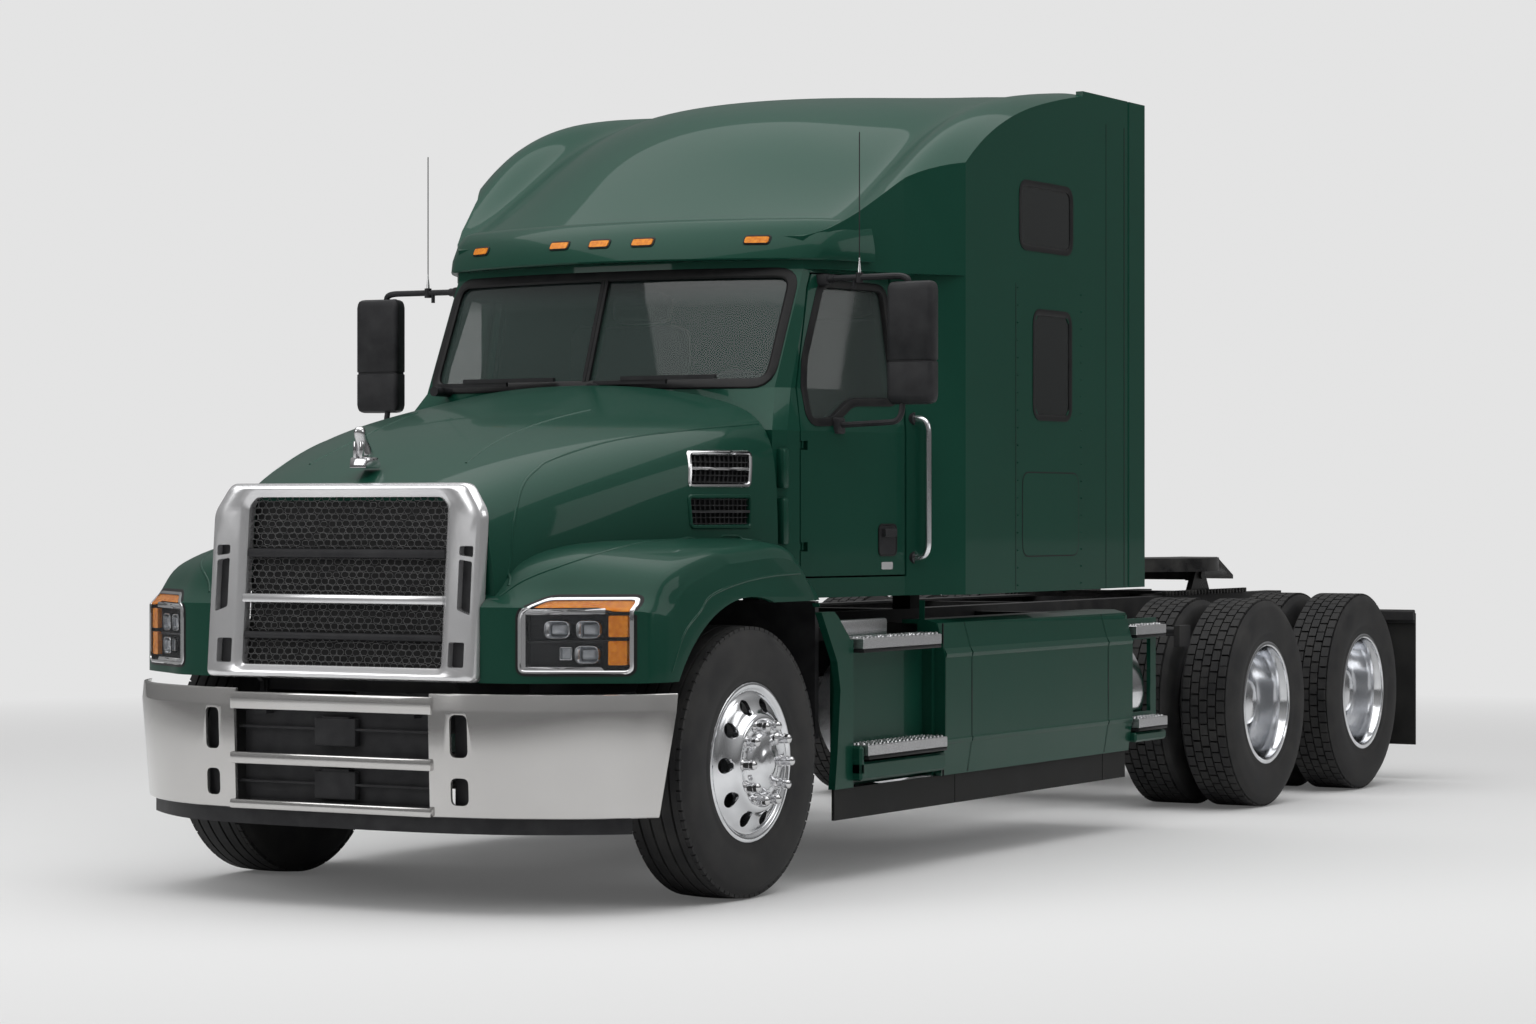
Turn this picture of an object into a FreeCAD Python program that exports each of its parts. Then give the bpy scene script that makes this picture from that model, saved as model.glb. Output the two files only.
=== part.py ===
import FreeCAD, Part
import math
import os
import Sketcher
from FreeCAD import Placement, Rotation, Vector

# Driving sizes in millimetres, measured from the front axle, rearwards and to the left
sizes = {
    "tyre_radius": 509, "tyre_width": 284, "rim_radius": 298, "rim_width": 250,
    "front_track": 1030, "dual_outer": 1070, "dual_inner": 730,
    "bogie_centre": 5622, "bogie_spacing": 1322,
    "kingpin_offset": 870, "kingpin_radius": 23, "steering_arm": 200,
    "rail_outer": 430, "rail_height": 270, "rail_top": 1010, "rail_flange": 88, "rail_wall": 10,
    "rail_front": 874, "rail_rear": 7050,
    "bumper_front": 1062, "bumper_half": 1214, "bumper_top": 792, "bumper_bottom": 350, "bumper_wall": 12,
    "cab_floor": 1100, "cab_half": 1040, "sleeper_half": 1200, "cab_rear": 2820, "cab_wall": 55,
    "cab_top": 2410, "belt_height": 1760, "cowl_height": 1930, "eave": 90,
    "door_front": 775, "door_rear": 1447, "door_bottom": 1185, "door_gap": 7, "door_hinge_x": 926,
    "door_hinge_y": 795, "door_pin": 5,
    "hood_rear": 600, "hood_wall": 22, "arch_radius": 615, "fender_half": 1160, "fender_bottom": 830,
    "hinge_y": 905, "hinge_z": 850, "hinge_pin": 12,
    "surround_half": 604, "surround_bottom": 830, "surround_top": 1545, "grille_half": 445,
    "fairing_half": 1200, "fairing_wall": 28, "fairing_bottom": 366, "fairing_top": 986,
    "fairing_front": 1500, "fairing_rear": 3350, "step_rear_end": 3708,
    "skirt_bottom": 246, "extender_rear": 3483, "extender_wall": 34, "extender_top": 3282,
    "tank_radius": 305, "tank_centre": 830, "tank_height": 620, "tank_front": 1640, "tank_rear": 3620,
    "plate_centre": 5950, "plate_radius": 485, "plate_top": 1200, "plate_wall": 28, "throat_radius": 26,
    "plate_axis": 1110, "flap_wall": 12, "flap_bottom": 190,
    "window_gap": 1, "seat_gap": 0.3,
}

doc = FreeCAD.newDocument("tractor_unit")
sheet = doc.addObject("Spreadsheet::Sheet", "Sizes")
for row, (alias, number) in enumerate(sizes.items(), 1):
    sheet.set(f"A{row}", alias)
    sheet.set(f"B{row}", str(number))
    sheet.setAlias(f"B{row}", alias)
doc.recompute()


# A number together with the formula that the document keeps for it
class Size:
    def __init__(self, value, text):
        self.value, self.text = value, text

    def __float__(self):
        return float(self.value)

    def __add__(self, other):
        return Size(float(self) + float(other), f"({self.text} + {formula(other)})")

    def __radd__(self, other):
        return self + other

    def __sub__(self, other):
        return Size(float(self) - float(other), f"({self.text} - {formula(other)})")

    def __rsub__(self, other):
        return Size(float(other) - float(self), f"({formula(other)} - {self.text})")

    def __mul__(self, other):
        return Size(float(self) * float(other), f"({self.text} * {formula(other)})")

    def __rmul__(self, other):
        return self * other

    def __truediv__(self, other):
        return Size(float(self) / float(other), f"({self.text} / {formula(other)})")

    def __neg__(self):
        return self * -1


def formula(value):
    return value.text if isinstance(value, Size) else repr(float(value))


class Sizes:
    def __getattr__(self, name):
        return Size(sizes[name], f"Sizes.{name}")


s = Sizes()
front_shift = (s.bumper_front - s.rail_rear) / 2
nodes = {}


def vec(x, y, z):
    return Vector(float(x), float(y), float(z))


def bind(item, **values):
    for path, value in values.items():
        item.setExpression(path, formula(value))
    return item


def place(item, x=0, y=0, z=0):
    for letter, value in zip("xyz", (x, y, z)):
        item.setExpression(f"Placement.Base.{letter}", formula(value))
    return item


def add(kind, name):
    return doc.addObject(kind, name)


def box(name, x0, x1, y0, y1, z0, z1):
    item = bind(add("Part::Box", name), Length=x1 - x0, Width=y1 - y0, Height=z1 - z0)
    return place(item, x0, y0, z0)


turns = {"x": Rotation(Vector(0, 1, 0), 90), "y": Rotation(Vector(1, 0, 0), -90), "z": Rotation()}


def rod(name, axis, start, radius, length):
    item = bind(add("Part::Cylinder", name), Radius=radius, Height=length)
    item.Placement = Placement(Vector(), turns[axis])
    return place(item, *start)


# A round bar that hides inside others: a prism with few sides
def prism(name, axis, start, radius, length, count=16):
    item = bind(add("Part::Prism", name), Circumradius=radius, Height=length)
    item.Polygon = count
    item.Placement = Placement(Vector(), turns[axis])
    return place(item, *start)


# A flat ring with many sides, tilted about the vehicle's cross axis
def tilted_ring(name, centre, radius, thickness, tilt):
    parts = []
    for tag, reach in (("outer", radius + thickness), ("inner", radius - thickness)):
        item = bind(add("Part::Prism", f"{name}_{tag}"), Circumradius=reach, Height=2 * thickness)
        item.Polygon = 20
        item.Placement = Placement(Vector(), Rotation(Vector(1, 0, 0), tilt))
        parts.append(place(item, *centre))
    return cut(name, *parts)


planes = {
    "XY": (Rotation(), Vector(0, 0, 1)),
    "XZ": (Rotation(Vector(1, 0, 0), 90), Vector(0, 1, 0)),
    "YZ": (Rotation(Vector(1, 1, 1), 120), Vector(1, 0, 0)),
}


# Closed polygon sketch whose corners are bound to the sheet
def outline(sketch, points):
    count = len(points)
    for index, point in enumerate(points):
        after = points[(index + 1) % count]
        sketch.addGeometry(Part.LineSegment(vec(*point, 0), vec(*after, 0)), False)
    for index in range(count):
        sketch.addConstraint(Sketcher.Constraint("Coincident", index, 2, (index + 1) % count, 1))
    for index, point in enumerate(points):
        for kind, value in zip(("DistanceX", "DistanceY"), point):
            number = sketch.addConstraint(Sketcher.Constraint(kind, -1, 1, index, 1, float(value)))
            sketch.setExpression(f"Constraints[{number}]", formula(value))
    return sketch


def panel(name, plane, points, start, depth):
    rotation, normal = planes[plane]
    sketch = outline(add("Sketcher::SketchObject", name + "_outline"), points)
    sketch.Placement = Placement(Vector(), rotation)
    letter = "xyz"[(normal.y + 2 * normal.z).__int__()]
    sketch.setExpression(f"Placement.Base.{letter}", formula(start))
    item = add("Part::Extrusion", name)
    item.Base, item.DirMode, item.Dir, item.Solid = sketch, "Custom", normal, True
    return bind(item, LengthFwd=depth)


def cut(name, base, *tools):
    item = add("Part::Cut", name)
    item.Base, item.Tool = base, joined(name + "_tools", *tools)
    return item


def joined(name, *items):
    if len(items) == 1:
        return items[0]
    item = add("Part::MultiFuse", name)
    item.Shapes = list(items)
    return item


def shared(name, *items):
    item = add("Part::MultiCommon", name)
    item.Shapes = list(items)
    return item


def group(name, *items):
    item = add("Part::Compound", name)
    item.Links = list(items)
    return item


def mirrored(name, item):
    copy = add("Part::Mirroring", name)
    copy.Source, copy.Normal = item, Vector(1, 0, 0)
    return copy


def pair(name, item):
    return group(name, item, mirrored(name + "_right", item))


# A shape that is made by surface functions, such as a loft of panels
def formed(name, shape):
    item = add("Part::Feature", name)
    item.Shape = shape
    return item


# A finished sub-part takes its name and its place in the vehicle's frame
def finish(name, item):
    item.Label = name
    item.setExpression("Placement.Base.y", front_shift.text)
    nodes[name] = item
    return item


def finish_mirrored(name, item):
    copy = mirrored(name, item)
    copy.Label = name
    nodes[name] = copy
    return copy


def solid_of(faces):
    solid = Part.makeSolid(Part.makeShell(faces))
    if solid.Volume < 0:
        solid.reverse()
    return solid


def flat_faces(loops, closed_ends=True, closed_ring=False):
    faces = []
    count = len(loops[0])
    bands = list(zip(loops, loops[1:] + loops[:1])) if closed_ring else list(zip(loops, loops[1:]))
    for low, high in bands:
        for i in range(count):
            j = (i + 1) % count
            corners = [low[i], low[j], high[j], high[i]]
            for picked in ((0, 1, 2), (0, 2, 3)):
                spot = [corners[k] for k in picked]
                if min((spot[0] - spot[1]).Length, (spot[1] - spot[2]).Length,
                    (spot[2] - spot[0]).Length) < 0.01:
                    continue
                faces.append(Part.Face(Part.makePolygon(spot + spot[:1])))
    if closed_ends and not closed_ring:
        for loop in (loops[0], loops[-1]):
            faces.append(Part.Face(Part.makePolygon(loop + loop[:1])))
    return faces


# Frame: two channel rails and the members between their webs
def rail_section(outer):
    inner, low, high = outer - s.rail_flange, s.rail_top - s.rail_height, s.rail_top
    wall = s.rail_wall
    return [(outer, high), (inner, high), (inner, high - wall), (outer - wall, high - wall),
            (outer - wall, low + wall), (inner, low + wall), (inner, low), (outer, low)]


rail = panel("rail_left", "XZ", rail_section(s.rail_outer), -s.rail_front, s.rail_rear + s.rail_front)
finish("frame_rails", pair("rails", rail))

rail_bottom = s.rail_top - s.rail_height
web_inner = s.rail_outer - s.rail_wall
drive_one = s.bogie_centre - s.bogie_spacing / 2
drive_two = s.bogie_centre + s.bogie_spacing / 2
member_spots = [-s.rail_front + 10, 1680, 3000, s.bogie_centre - 1250, s.bogie_centre - 60,
    s.rail_rear - 120]


def cross_member(name, y):
    member = box(name + "_web", -web_inner, web_inner, y, y + 12, rail_bottom + 50, s.rail_top - 22)
    top = box(name + "_top", -web_inner, web_inner, y, y + 70, s.rail_top - 22, s.rail_top - 12)
    low = box(name + "_low", -web_inner, web_inner, y, y + 70, rail_bottom + 40, rail_bottom + 50)
    return joined(name, member, top, low)


members = [cross_member(f"member_{i}", y) for i, y in enumerate(member_spots)]
flap_bar = rod("flap_bar", "x", (s.rail_outer, s.rail_rear - 45, 900), 15, 780)
flap_plate = box("flap_plate", 600, 1210, s.rail_rear - 60, s.rail_rear - 30, 860, 900)
bar = joined("flap_hanger", flap_bar, flap_plate)
quarter_tube = rod("quarter_tube", "x", (s.rail_outer, drive_one - 640, 870), 22, 600)
quarter_end = box("quarter_end", 1000, 1030, drive_one - 690, drive_one - 560, 800, 900)
quarter = joined("quarter_bracket", quarter_tube, quarter_end)
finish("crossmembers", group("members", *members, bar, mirrored("flap_hanger_right", bar),
                             quarter, mirrored("quarter_bracket_right", quarter)))

# Axles
axle = s.tyre_radius
boss_half, boss_radius = 80, 46
beam = panel("beam", "XZ", [
    (-s.kingpin_offset + 30, axle - 45), (-560, axle - 60), (-430, axle - 110), (430, axle - 110),
    (560, axle - 60),
    (s.kingpin_offset - 30, axle - 45), (s.kingpin_offset - 30, axle + 45), (560, axle + 40),
    (475, axle - 10), (475, axle + 91), (385, axle + 91), (385, axle - 10), (-385, axle - 10),
    (-385, axle + 91),
    (-475, axle + 91), (-475, axle - 10), (-560, axle + 40), (-s.kingpin_offset + 30, axle + 45)], -45,
    90)
bosses = [rod(f"boss_{side}", "z", (side * s.kingpin_offset, 0, axle - boss_half), boss_radius,
    2 * boss_half)
          for side in (-1, 1)]
bores = [rod(f"boss_bore_{side}", "z", (side * s.kingpin_offset, 0, axle - 120),
    s.kingpin_radius + s.seat_gap, 240)
         for side in (-1, 1)]
finish("front_axle", cut("front_axle_beam", joined("axle_forging", beam, *bosses), *bores))

spring = panel("front_spring", "YZ", [
    (-750, 665), (-400, 628), (-60, axle + 91), (60, axle + 91), (400, 628), (750, 665),
    (750, 715), (400, 678), (60, 665), (-60, 665), (-400, 678), (-750, 715)], 390, 80)
shackles = [box(f"shackle_{y}", 385, 475, y - 45, y + 45, 680, rail_bottom) for y in (-700, 700)]
front_spring = joined("front_spring_pack", spring, *shackles)
rear_arms = []
for name, y in (("one", drive_one), ("two", drive_two)):
    hanger = box(f"hanger_{name}", 350, 430, y - 600, y - 530, 300, rail_bottom)
    arm = panel(f"arm_{name}", "YZ", [
        (y - 600, 300), (y + 430, 300), (y + 430, 350), (y + 150, 350), (y + 60, axle - 130),
        (y - 60, axle - 130),
        (y - 530, 370)],
        350, 80)
    rear_arms.append(joined(f"trailing_arm_{name}", hanger, arm))
springs = [front_spring] + rear_arms
finish("suspension", group("suspension_parts", *springs,
                           *[mirrored(item.Name + "_right", item) for item in springs]))

bags = []
for name, y in (("one", drive_one), ("two", drive_two)):
    bags.append(prism(f"air_bag_{name}", "z", (440, y + 320, 350 + s.seat_gap), 105,
        rail_bottom - 350 - s.seat_gap))
finish("air_springs", group("air_spring_parts", *bags, *[mirrored(item.Name + "_right",
    item) for item in bags]))

housings = []
for name, y in (("one", drive_one), ("two", drive_two)):
    tube = prism(f"housing_tube_{name}", "x", (-540, y, axle), 130, 1080)
    spindle = rod(f"housing_spindle_{name}", "x", (-s.dual_outer, y, axle), 55, 2 * s.dual_outer)
    bowl = prism(f"housing_bowl_{name}", "x", (-140, y, axle), 215, 280)
    nose = prism(f"housing_nose_{name}", "y", (0, y - 380, axle + 60), 85, 300)
    back = prism(f"housing_back_{name}", "y", (0, y + 100, axle + 60), 70, 180)
    housings.append(joined(f"drive_housing_{name}", tube, spindle, bowl, nose, back))
finish("drive_axles", group("drive_housings", *housings))

shaft_height = axle + 60
shaft_one = prism("shaft_one", "y", (0, 1520, shaft_height), 55, drive_one - 380 - 1520)
shaft_two = prism("shaft_two", "y", (0, drive_one + 280, shaft_height), 50, s.bogie_spacing - 660)
finish("driveline", group("drive_shafts", shaft_one, shaft_two))

# Engine: one plain block with its gearbox, carried between the rails
block = box("engine_block", -300, 300, -480, 590, 620, 1450)
gearbox = prism("gearbox", "y", (0, 590, 800), 215, 790)
gear_end = prism("gearbox_end", "y", (0, 1380, 720), 150, 140)
mounts = [box(f"engine_mount_{y}", -web_inner, web_inner, y, y + 90, 800, 850) for y in (-250, 380)]
radiator = box("radiator", s.rail_flange - s.rail_outer, s.rail_outer - s.rail_flange, -790, -720, 790,
    1400)
finish("engine", group("engine_parts", joined("engine_unit", block, *mounts),
    joined("gear_unit", gearbox, gear_end),
                       radiator))


# Bumper: polished end plates joined by three bars
def spline_wire(outer, inner, height):
    front = Part.BSplineCurve()
    front.interpolate([vec(x, y, height) for x, y in outer])
    back = Part.BSplineCurve()
    back.interpolate([vec(x, y, height) for x, y in inner])
    return Part.Wire([
        front.toShape(), Part.LineSegment(vec(*outer[-1], height), vec(*inner[-1], height)).toShape(),
        back.toShape(), Part.LineSegment(vec(*inner[0], height), vec(*outer[0], height)).toShape()])


def shifted(points, wall):
    result = []
    for index, (x, y) in enumerate(points):
        before, after = points[max(index - 1, 0)], points[min(index + 1, len(points) - 1)]
        dx, dy = float(after[0]) - float(before[0]), float(after[1]) - float(before[1])
        size = math.hypot(dx, dy)
        result.append((float(x) - dy / size * wall, float(y) + dx / size * wall))
    return result


front = -s.bumper_front
end_top = [(435, front + 4), (700, front + 52), (960, front + 168), (1130, front + 320),
    (s.bumper_half, front + 452)]
end_low = [(435, front + 20), (690, front + 72), (920, front + 184), (1080, front + 316),
    (s.bumper_half - 58, front + 408)]
end_wires = [spline_wire(points, shifted(points, sizes["bumper_wall"]), height)
             for points, height in ((end_low, s.bumper_bottom), (end_top, s.bumper_top))]
end_plate = formed("bumper_end", Part.makeLoft(end_wires, True, True))
slots = []
for low, high in ((394, 492), (565, 718)):
    slots.append(panel(f"tow_slot_{low}", "XZ", [
        (530, low), (573, low), (586, low + 18), (586, high - 18), (573, high), (530, high),
        (517, high - 18),
        (517, low + 18)], -1100, 200))
end_left = cut("bumper_end_left", end_plate, *slots)
bars = [box(f"bumper_bar_{low}", -448, 448, front, front + 26, low, high)
        for low, high in ((350, 384), (515, 558), (716, 780))]
finish("bumper", joined("bumper_shell", end_left, mirrored("bumper_end_right", end_left), *bars))

core_back = box("core_back", -430, 430, -990, -960, 384, 716)
core_blocks = [box(f"core_block_{low}", -60, 60, -1020, -990, low, low + 95) for low in (600, 410)]
core_legs = [panel(f"core_leg_{x}", "YZ", [
    (-960, 640), (90 - s.rail_front, 640), (90 - s.rail_front, rail_bottom),
    (2 - s.rail_front, rail_bottom),
    (-6 - s.rail_front, rail_bottom - 12), (-960, rail_bottom - 12)], x, 88) for x in (-430, 342)]
lip_points = [(0, front + 30), (440, front + 44), (720, front + 110), (930, front + 230),
    (1080, front + 350)]
lip_wire = [(x, y) for x, y in lip_points]
lip_back = [(x, y) for x, y in shifted(lip_points, 40)]
lip_half = formed("lip_half", Part.makeLoft([
    spline_wire(lip_wire, lip_back, 292), spline_wire(lip_wire, lip_back, s.bumper_bottom)], True, True))
lip_web = box("lip_web", -400, 400, -1000, -970, 320, 384)
struts = [box(f"core_strut_{x}_{z0}", x, x + 60, front + 26, -960, z0, z1)
          for x in (-360, 300) for z0, z1 in ((520, 553), (700, 744))]
hinge_ears = [panel(f"hinge_ear_{x}", "YZ", [
    (-s.hinge_y - 20, s.hinge_z - 12), (25 - s.hinge_y, s.hinge_z - 40), (30 - s.hinge_y, 700),
    (90 - s.hinge_y, 700),
    (90 - s.hinge_y, s.hinge_z + 50), (10 - s.hinge_y, s.hinge_z + 34),
    (-s.hinge_y - 20, s.hinge_z + 12)],
    x, 20) for x in (-450, 430)]
hinge_bore = rod("hinge_bore", "x", (-500, -s.hinge_y, s.hinge_z), s.hinge_pin + s.seat_gap, 1000)
core_body = joined("core_parts", core_back, *core_blocks, *core_legs, *struts, *hinge_ears, lip_web,
    lip_half,
                   mirrored("lip_half_right", lip_half))
finish("bumper_core", cut("core_bored", core_body, hinge_bore))


# Cab: plan outlines at four heights, lofted with straight sides
def cab_plan(height, nose, corner, pillar, rear_x, inset=0.0):
    points = [corner, pillar, (rear_x, sizes["door_rear"]), (sizes["sleeper_half"], 1680),
              (sizes["sleeper_half"], sizes["cab_rear"])]
    half = inset_line([(0, nose)] + points + [(0, sizes["cab_rear"])], inset)
    return [(x, y, height) for x, y in half]


def inset_line(points, wall):
    result = []
    for index, (x, y) in enumerate(points):
        if index == 0:
            result.append((0, y + wall))
            continue
        if index == len(points) - 1:
            result.append((0, y - wall))
            continue
        ax, ay = x - points[index - 1][0], y - points[index - 1][1]
        bx, by = points[index + 1][0] - x, points[index + 1][1] - y
        la, lb = math.hypot(ax, ay), math.hypot(bx, by)
        na, nb = (-ay / la, ax / la), (-by / lb, bx / lb)
        mx, my = na[0] + nb[0], na[1] + nb[1]
        scale = wall * 2 / (mx * mx + my * my)
        result.append((x + mx * scale, y + my * scale))
    return result


def plan_wire(half):
    (x0, y0, z), (x1, y1, _) = half[0], half[1]
    edges = [Part.Arc(vec(-x1, y1, z), vec(0, y0, z), vec(x1, y1, z)).toShape()]
    right = [vec(-x, y, z) for x, y, z in half[1:-1]]
    left = [vec(x, y, z) for x, y, z in half[1:-1]]
    chain = left + right[::-1]
    edges += [Part.LineSegment(a, b).toShape() for a, b in zip(chain, chain[1:])]
    return Part.Wire(edges)


cab_levels = [
    (sizes["cab_floor"], 640, (895, 612), (918, 690), sizes["cab_half"]),
    (sizes["belt_height"], 640, (895, 612), (918, 690), sizes["cab_half"]),
    (sizes["cowl_height"], 650, (832, 742), (872, 800), 1030),
    (sizes["cab_top"], 824, (832, 970), (850, 1010), 960),
]


def cab_solid(inset, low=0.0, high=0.0):
    levels = [list(level) for level in cab_levels]
    levels[0][0] += low
    levels[-1][0] += high
    return Part.makeLoft([plan_wire(cab_plan(*level, inset)) for level in levels], True, True)


wall = sizes["cab_wall"]
cab_outer = formed("cab_outer", cab_solid(0))
cab_inner = formed("cab_inner", cab_solid(wall, wall))
cab_shell = cut("cab_shell", cab_outer, cab_inner)

door_line = [(s.door_front, s.door_bottom), (s.door_rear, s.door_bottom), (s.door_rear, s.cab_top - 20),
             (1005, s.cab_top - 20), (975, 2330), (835, s.cowl_height), (s.door_front, s.belt_height)]


def grown(points, gap):
    cy = sum(float(p[0]) for p in points) / len(points)
    cz = sum(float(p[1]) for p in points) / len(points)
    return [(y + (gap if float(y) > cy else -gap), z + (gap if float(z) > cz else -gap)) for y,
        z in points]


door_prism = panel("door_prism", "YZ", door_line, 780, 340)
door_hole = panel("door_hole", "YZ", grown(door_line, s.door_gap), 780, 340)
door_hole_right = mirrored("door_hole_right", door_hole)
glass_line = [(850, 1800), (990, 1803), (1130, 1885), (1400, 1890), (1405, 2345), (1055, 2350),
    (900, 2040)]
glass_hole = panel("glass_hole", "YZ", glass_line, 740, 380)
glass_plug = panel("glass_plug", "YZ", grown(glass_line, -s.window_gap), 740, 380)
pane_line = [(12, 1962), (780, 1952), (800, 1985), (800, 2350), (770, 2388), (12, 2392)]
pane_hole = panel("pane_hole", "XZ", pane_line, 500, 600)
pane_plug = panel("pane_plug", "XZ", grown(pane_line, -s.window_gap), 500, 600)
glass_skin = cut("glass_skin", formed("glass_outer", cab_solid(12)),
    formed("glass_inner", cab_solid(20, -1, 1)))

low_window = (2324, 2695, 1840, 2297)
high_window = (2190, 2706, 2560, 2840)


def window_hole(name, y0, y1, z0, z1, x0, x1, gap=0.0, cut_corner=60):
    c = cut_corner
    return panel(name, "YZ", [
        (y0 + gap + c, z0 + gap), (y1 - gap - c, z0 + gap), (y1 - gap, z0 + gap + c),
        (y1 - gap, z1 - gap - c),
        (y1 - gap - c, z1 - gap), (y0 + gap + c, z1 - gap), (y0 + gap, z1 - gap - c),
        (y0 + gap, z0 + gap + c)],
        x0, x1 - x0)


side = s.sleeper_half
low_hole = window_hole("low_window_hole", *low_window, side - s.cab_wall - 40, side + 40)
door_pins = []
door_reliefs = []
for z in (1290, 1690):
    door_pins.append(rod(f"door_pin_{z}", "z", (s.door_hinge_x, s.door_hinge_y, z), s.door_pin, 60))
    door_pins.append(box(f"door_hinge_web_{z}", s.door_hinge_x - 12, s.door_hinge_x - 2,
        s.door_hinge_y - 36,
                         s.door_hinge_y, z, z + 24))
    door_reliefs.append(rod(f"door_relief_{z}", "z", (s.door_hinge_x, s.door_hinge_y, z - 6), 26, 36))
    door_reliefs.append(rod(f"door_bore_{z}", "z", (s.door_hinge_x, s.door_hinge_y, z),
        s.door_pin + s.seat_gap, 66))
door_hinges = joined("door_hinges", *door_pins)
floor_room = box("floor_room", -1300, 1300, 400, 3000, s.cab_floor - 50, s.cab_floor + s.cab_wall)
back_room = box("back_room", -1300, 1300, s.cab_rear - s.cab_wall, 3000, s.cab_floor + s.cab_wall,
    s.cab_top + 50)
finish("cab_floor", shared("cab_floor_panel", cab_shell, floor_room))
finish("cab_back", shared("cab_back_panel", cab_shell, back_room))
cab_cut = cut("cab_body", cab_shell, floor_room, back_room, door_hole, door_hole_right, pane_hole,
    mirrored("pane_hole_right", pane_hole),
              low_hole, mirrored("low_window_hole_right", low_hole))
finish("cab", joined("cab_with_hinges", cab_cut, door_hinges, mirrored("door_hinges_right", door_hinges)))
mount_pads = [box(f"cab_mount_{y}", s.rail_outer - s.rail_flange, s.rail_outer, y, y + 90, s.rail_top,
    s.cab_floor)
              for y in (760, 1500, 2660)]
finish("cab_mounts", group("mount_pads", *mount_pads, *[mirrored(pad.Name + "_right",
    pad) for pad in mount_pads]))

# Doors
door_skin = shared("door_skin", cab_shell, door_prism)
door = cut("door_body", door_skin, glass_hole, *door_reliefs)
finish("door_left", door)
finish_mirrored("door_right", door)
door_glass = shared("door_glass", glass_skin, glass_plug)
finish("door_glass_left", door_glass)
finish_mirrored("door_glass_right", door_glass)

# Roof: the cab's walls go up into a crowned cap, with an eave over the doors
stations = (700, 1080, 1430, 1700, 2020, 2400, 2900)
columns = (0, 450, 780, 900, 1040, 1200, 1300)
crown = [
    (2420, 2420, 2420, 2420, 2420, 2410, 2400),
    (2700, 2680, 2600, 2560, 2590, 2440, 2380),
    (3040, 2985, 2810, 2730, 2870, 2660, 2520),
    (3180, 3140, 2975, 2890, 3060, 2930, 2780),
    (3235, 3212, 3120, 3060, 3195, 3110, 2980),
    (3280, 3267, 3222, 3190, 3262, 3215, 3120),
    (3300, 3298, 3292, 3286, 3292, 3282, 3240),
]


def end_knots(count):
    inner = count - 4
    return [i / (inner + 1) for i in range(inner + 2)], [4] + [1] * inner + [4]


# A smooth surface that is drawn towards a net of points
def net_surface(rows):
    u_knots, u_counts = end_knots(len(rows))
    v_knots, v_counts = end_knots(len(rows[0]))
    surface = Part.BSplineSurface()
    surface.buildFromPolesMultsKnots(rows, u_counts, v_counts, u_knots, v_knots, False, False, 3, 3)
    return surface


def whole_row(points):
    return [Vector(-p.x, p.y, p.z) for p in points[:0:-1]] + points


def crown_net(drop):
    return net_surface([whole_row([Vector(x, y, z - drop) for x, z in zip(columns, heights)])
                        for y, heights in zip(stations, crown)])


long_shares = [i / 8 for i in range(9)]
cross_shares = [i / 18 for i in range(19)]


# The crown as flat facets on its net, down to below the cab's top
def crown_facets(drop):
    surface = crown_net(drop)
    loops = []
    for share in long_shares:
        top = [surface.value(share, cross) for cross in cross_shares]
        loops.append(top + [Vector(top[-1].x, top[-1].y, 1900), Vector(top[0].x, top[0].y, 1900)])
    return solid_of(flat_faces(loops))


def roof_prism(plan):
    return Part.Face(plan_wire(plan)).extrude(Vector(0, 0, 1000))


cab_top_plan = cab_plan(*cab_levels[-1])
eave_plan = cab_top_plan[:2] + [(900, 1060), (850 + sizes["eave"] + 20, 1180),
    (960 + sizes["eave"], 1430)]
eave_plan = [(x, y, sizes["cab_top"]) for x, y, *_ in eave_plan + cab_top_plan[4:]]
roof_outer = shared("roof_outer", formed("roof_prism", roof_prism(eave_plan)),
    formed("roof_crown", crown_facets(0)))
roof_inner = shared("roof_inner", formed("roof_prism_inner", roof_prism(cab_plan(*cab_levels[-1], wall))),
                    formed("roof_crown_inner", crown_facets(wall)))
high_hole = window_hole("high_window_hole", *high_window, side - s.cab_wall - 40, side + 40)
roof = cut("roof_cap", roof_outer, roof_inner, high_hole, mirrored("high_window_hole_right", high_hole))
finish("roof", roof)


# Visor over the windshield, cut to the roof's front
def arc_wire(nose, corner, end, height):
    (x, y), (end_x, back) = corner, end
    return Part.Wire([
        Part.Arc(vec(-x, y, height), vec(0, nose, height), vec(x, y, height)).toShape(),
        Part.LineSegment(vec(x, y, height), vec(end_x, back, height)).toShape(),
        Part.LineSegment(vec(end_x, back, height), vec(-end_x, back, height)).toShape(),
        Part.LineSegment(vec(-end_x, back, height), vec(-x, y, height)).toShape()])


visor_block = formed("visor_block", Part.makeLoft([
    arc_wire(735, (920, 1000), (1010, 1250), 2446), arc_wire(752, (925, 1012), (1008, 1250), 2500),
    arc_wire(850, (890, 1072), (970, 1270), 2610), arc_wire(1010, (830, 1150), (900, 1300), 2690)],
    True, True))
visor = cut("visor_body", visor_block, roof_outer)
finish("visor", visor)
lamp_spots = (-665, -200, 0, 200, 665)
amber = [box(f"amber_{i}", x - 46, x + 46, 700, 1000, 2512, 2542) for i, x in enumerate(lamp_spots)]
lamp_skin = formed("lamp_skin", Part.makeLoft([
    arc_wire(725, (930, 990), (1020, 1250), 2446), arc_wire(742, (935, 1002), (1018, 1250), 2500),
    arc_wire(840, (900, 1062), (980, 1270), 2610)], True, True))
amber_lamps = [cut(f"amber_lamp_{i}", shared(f"amber_skin_{i}", item, lamp_skin), visor_block, roof_outer)
               for i, item in enumerate(amber)]
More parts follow.
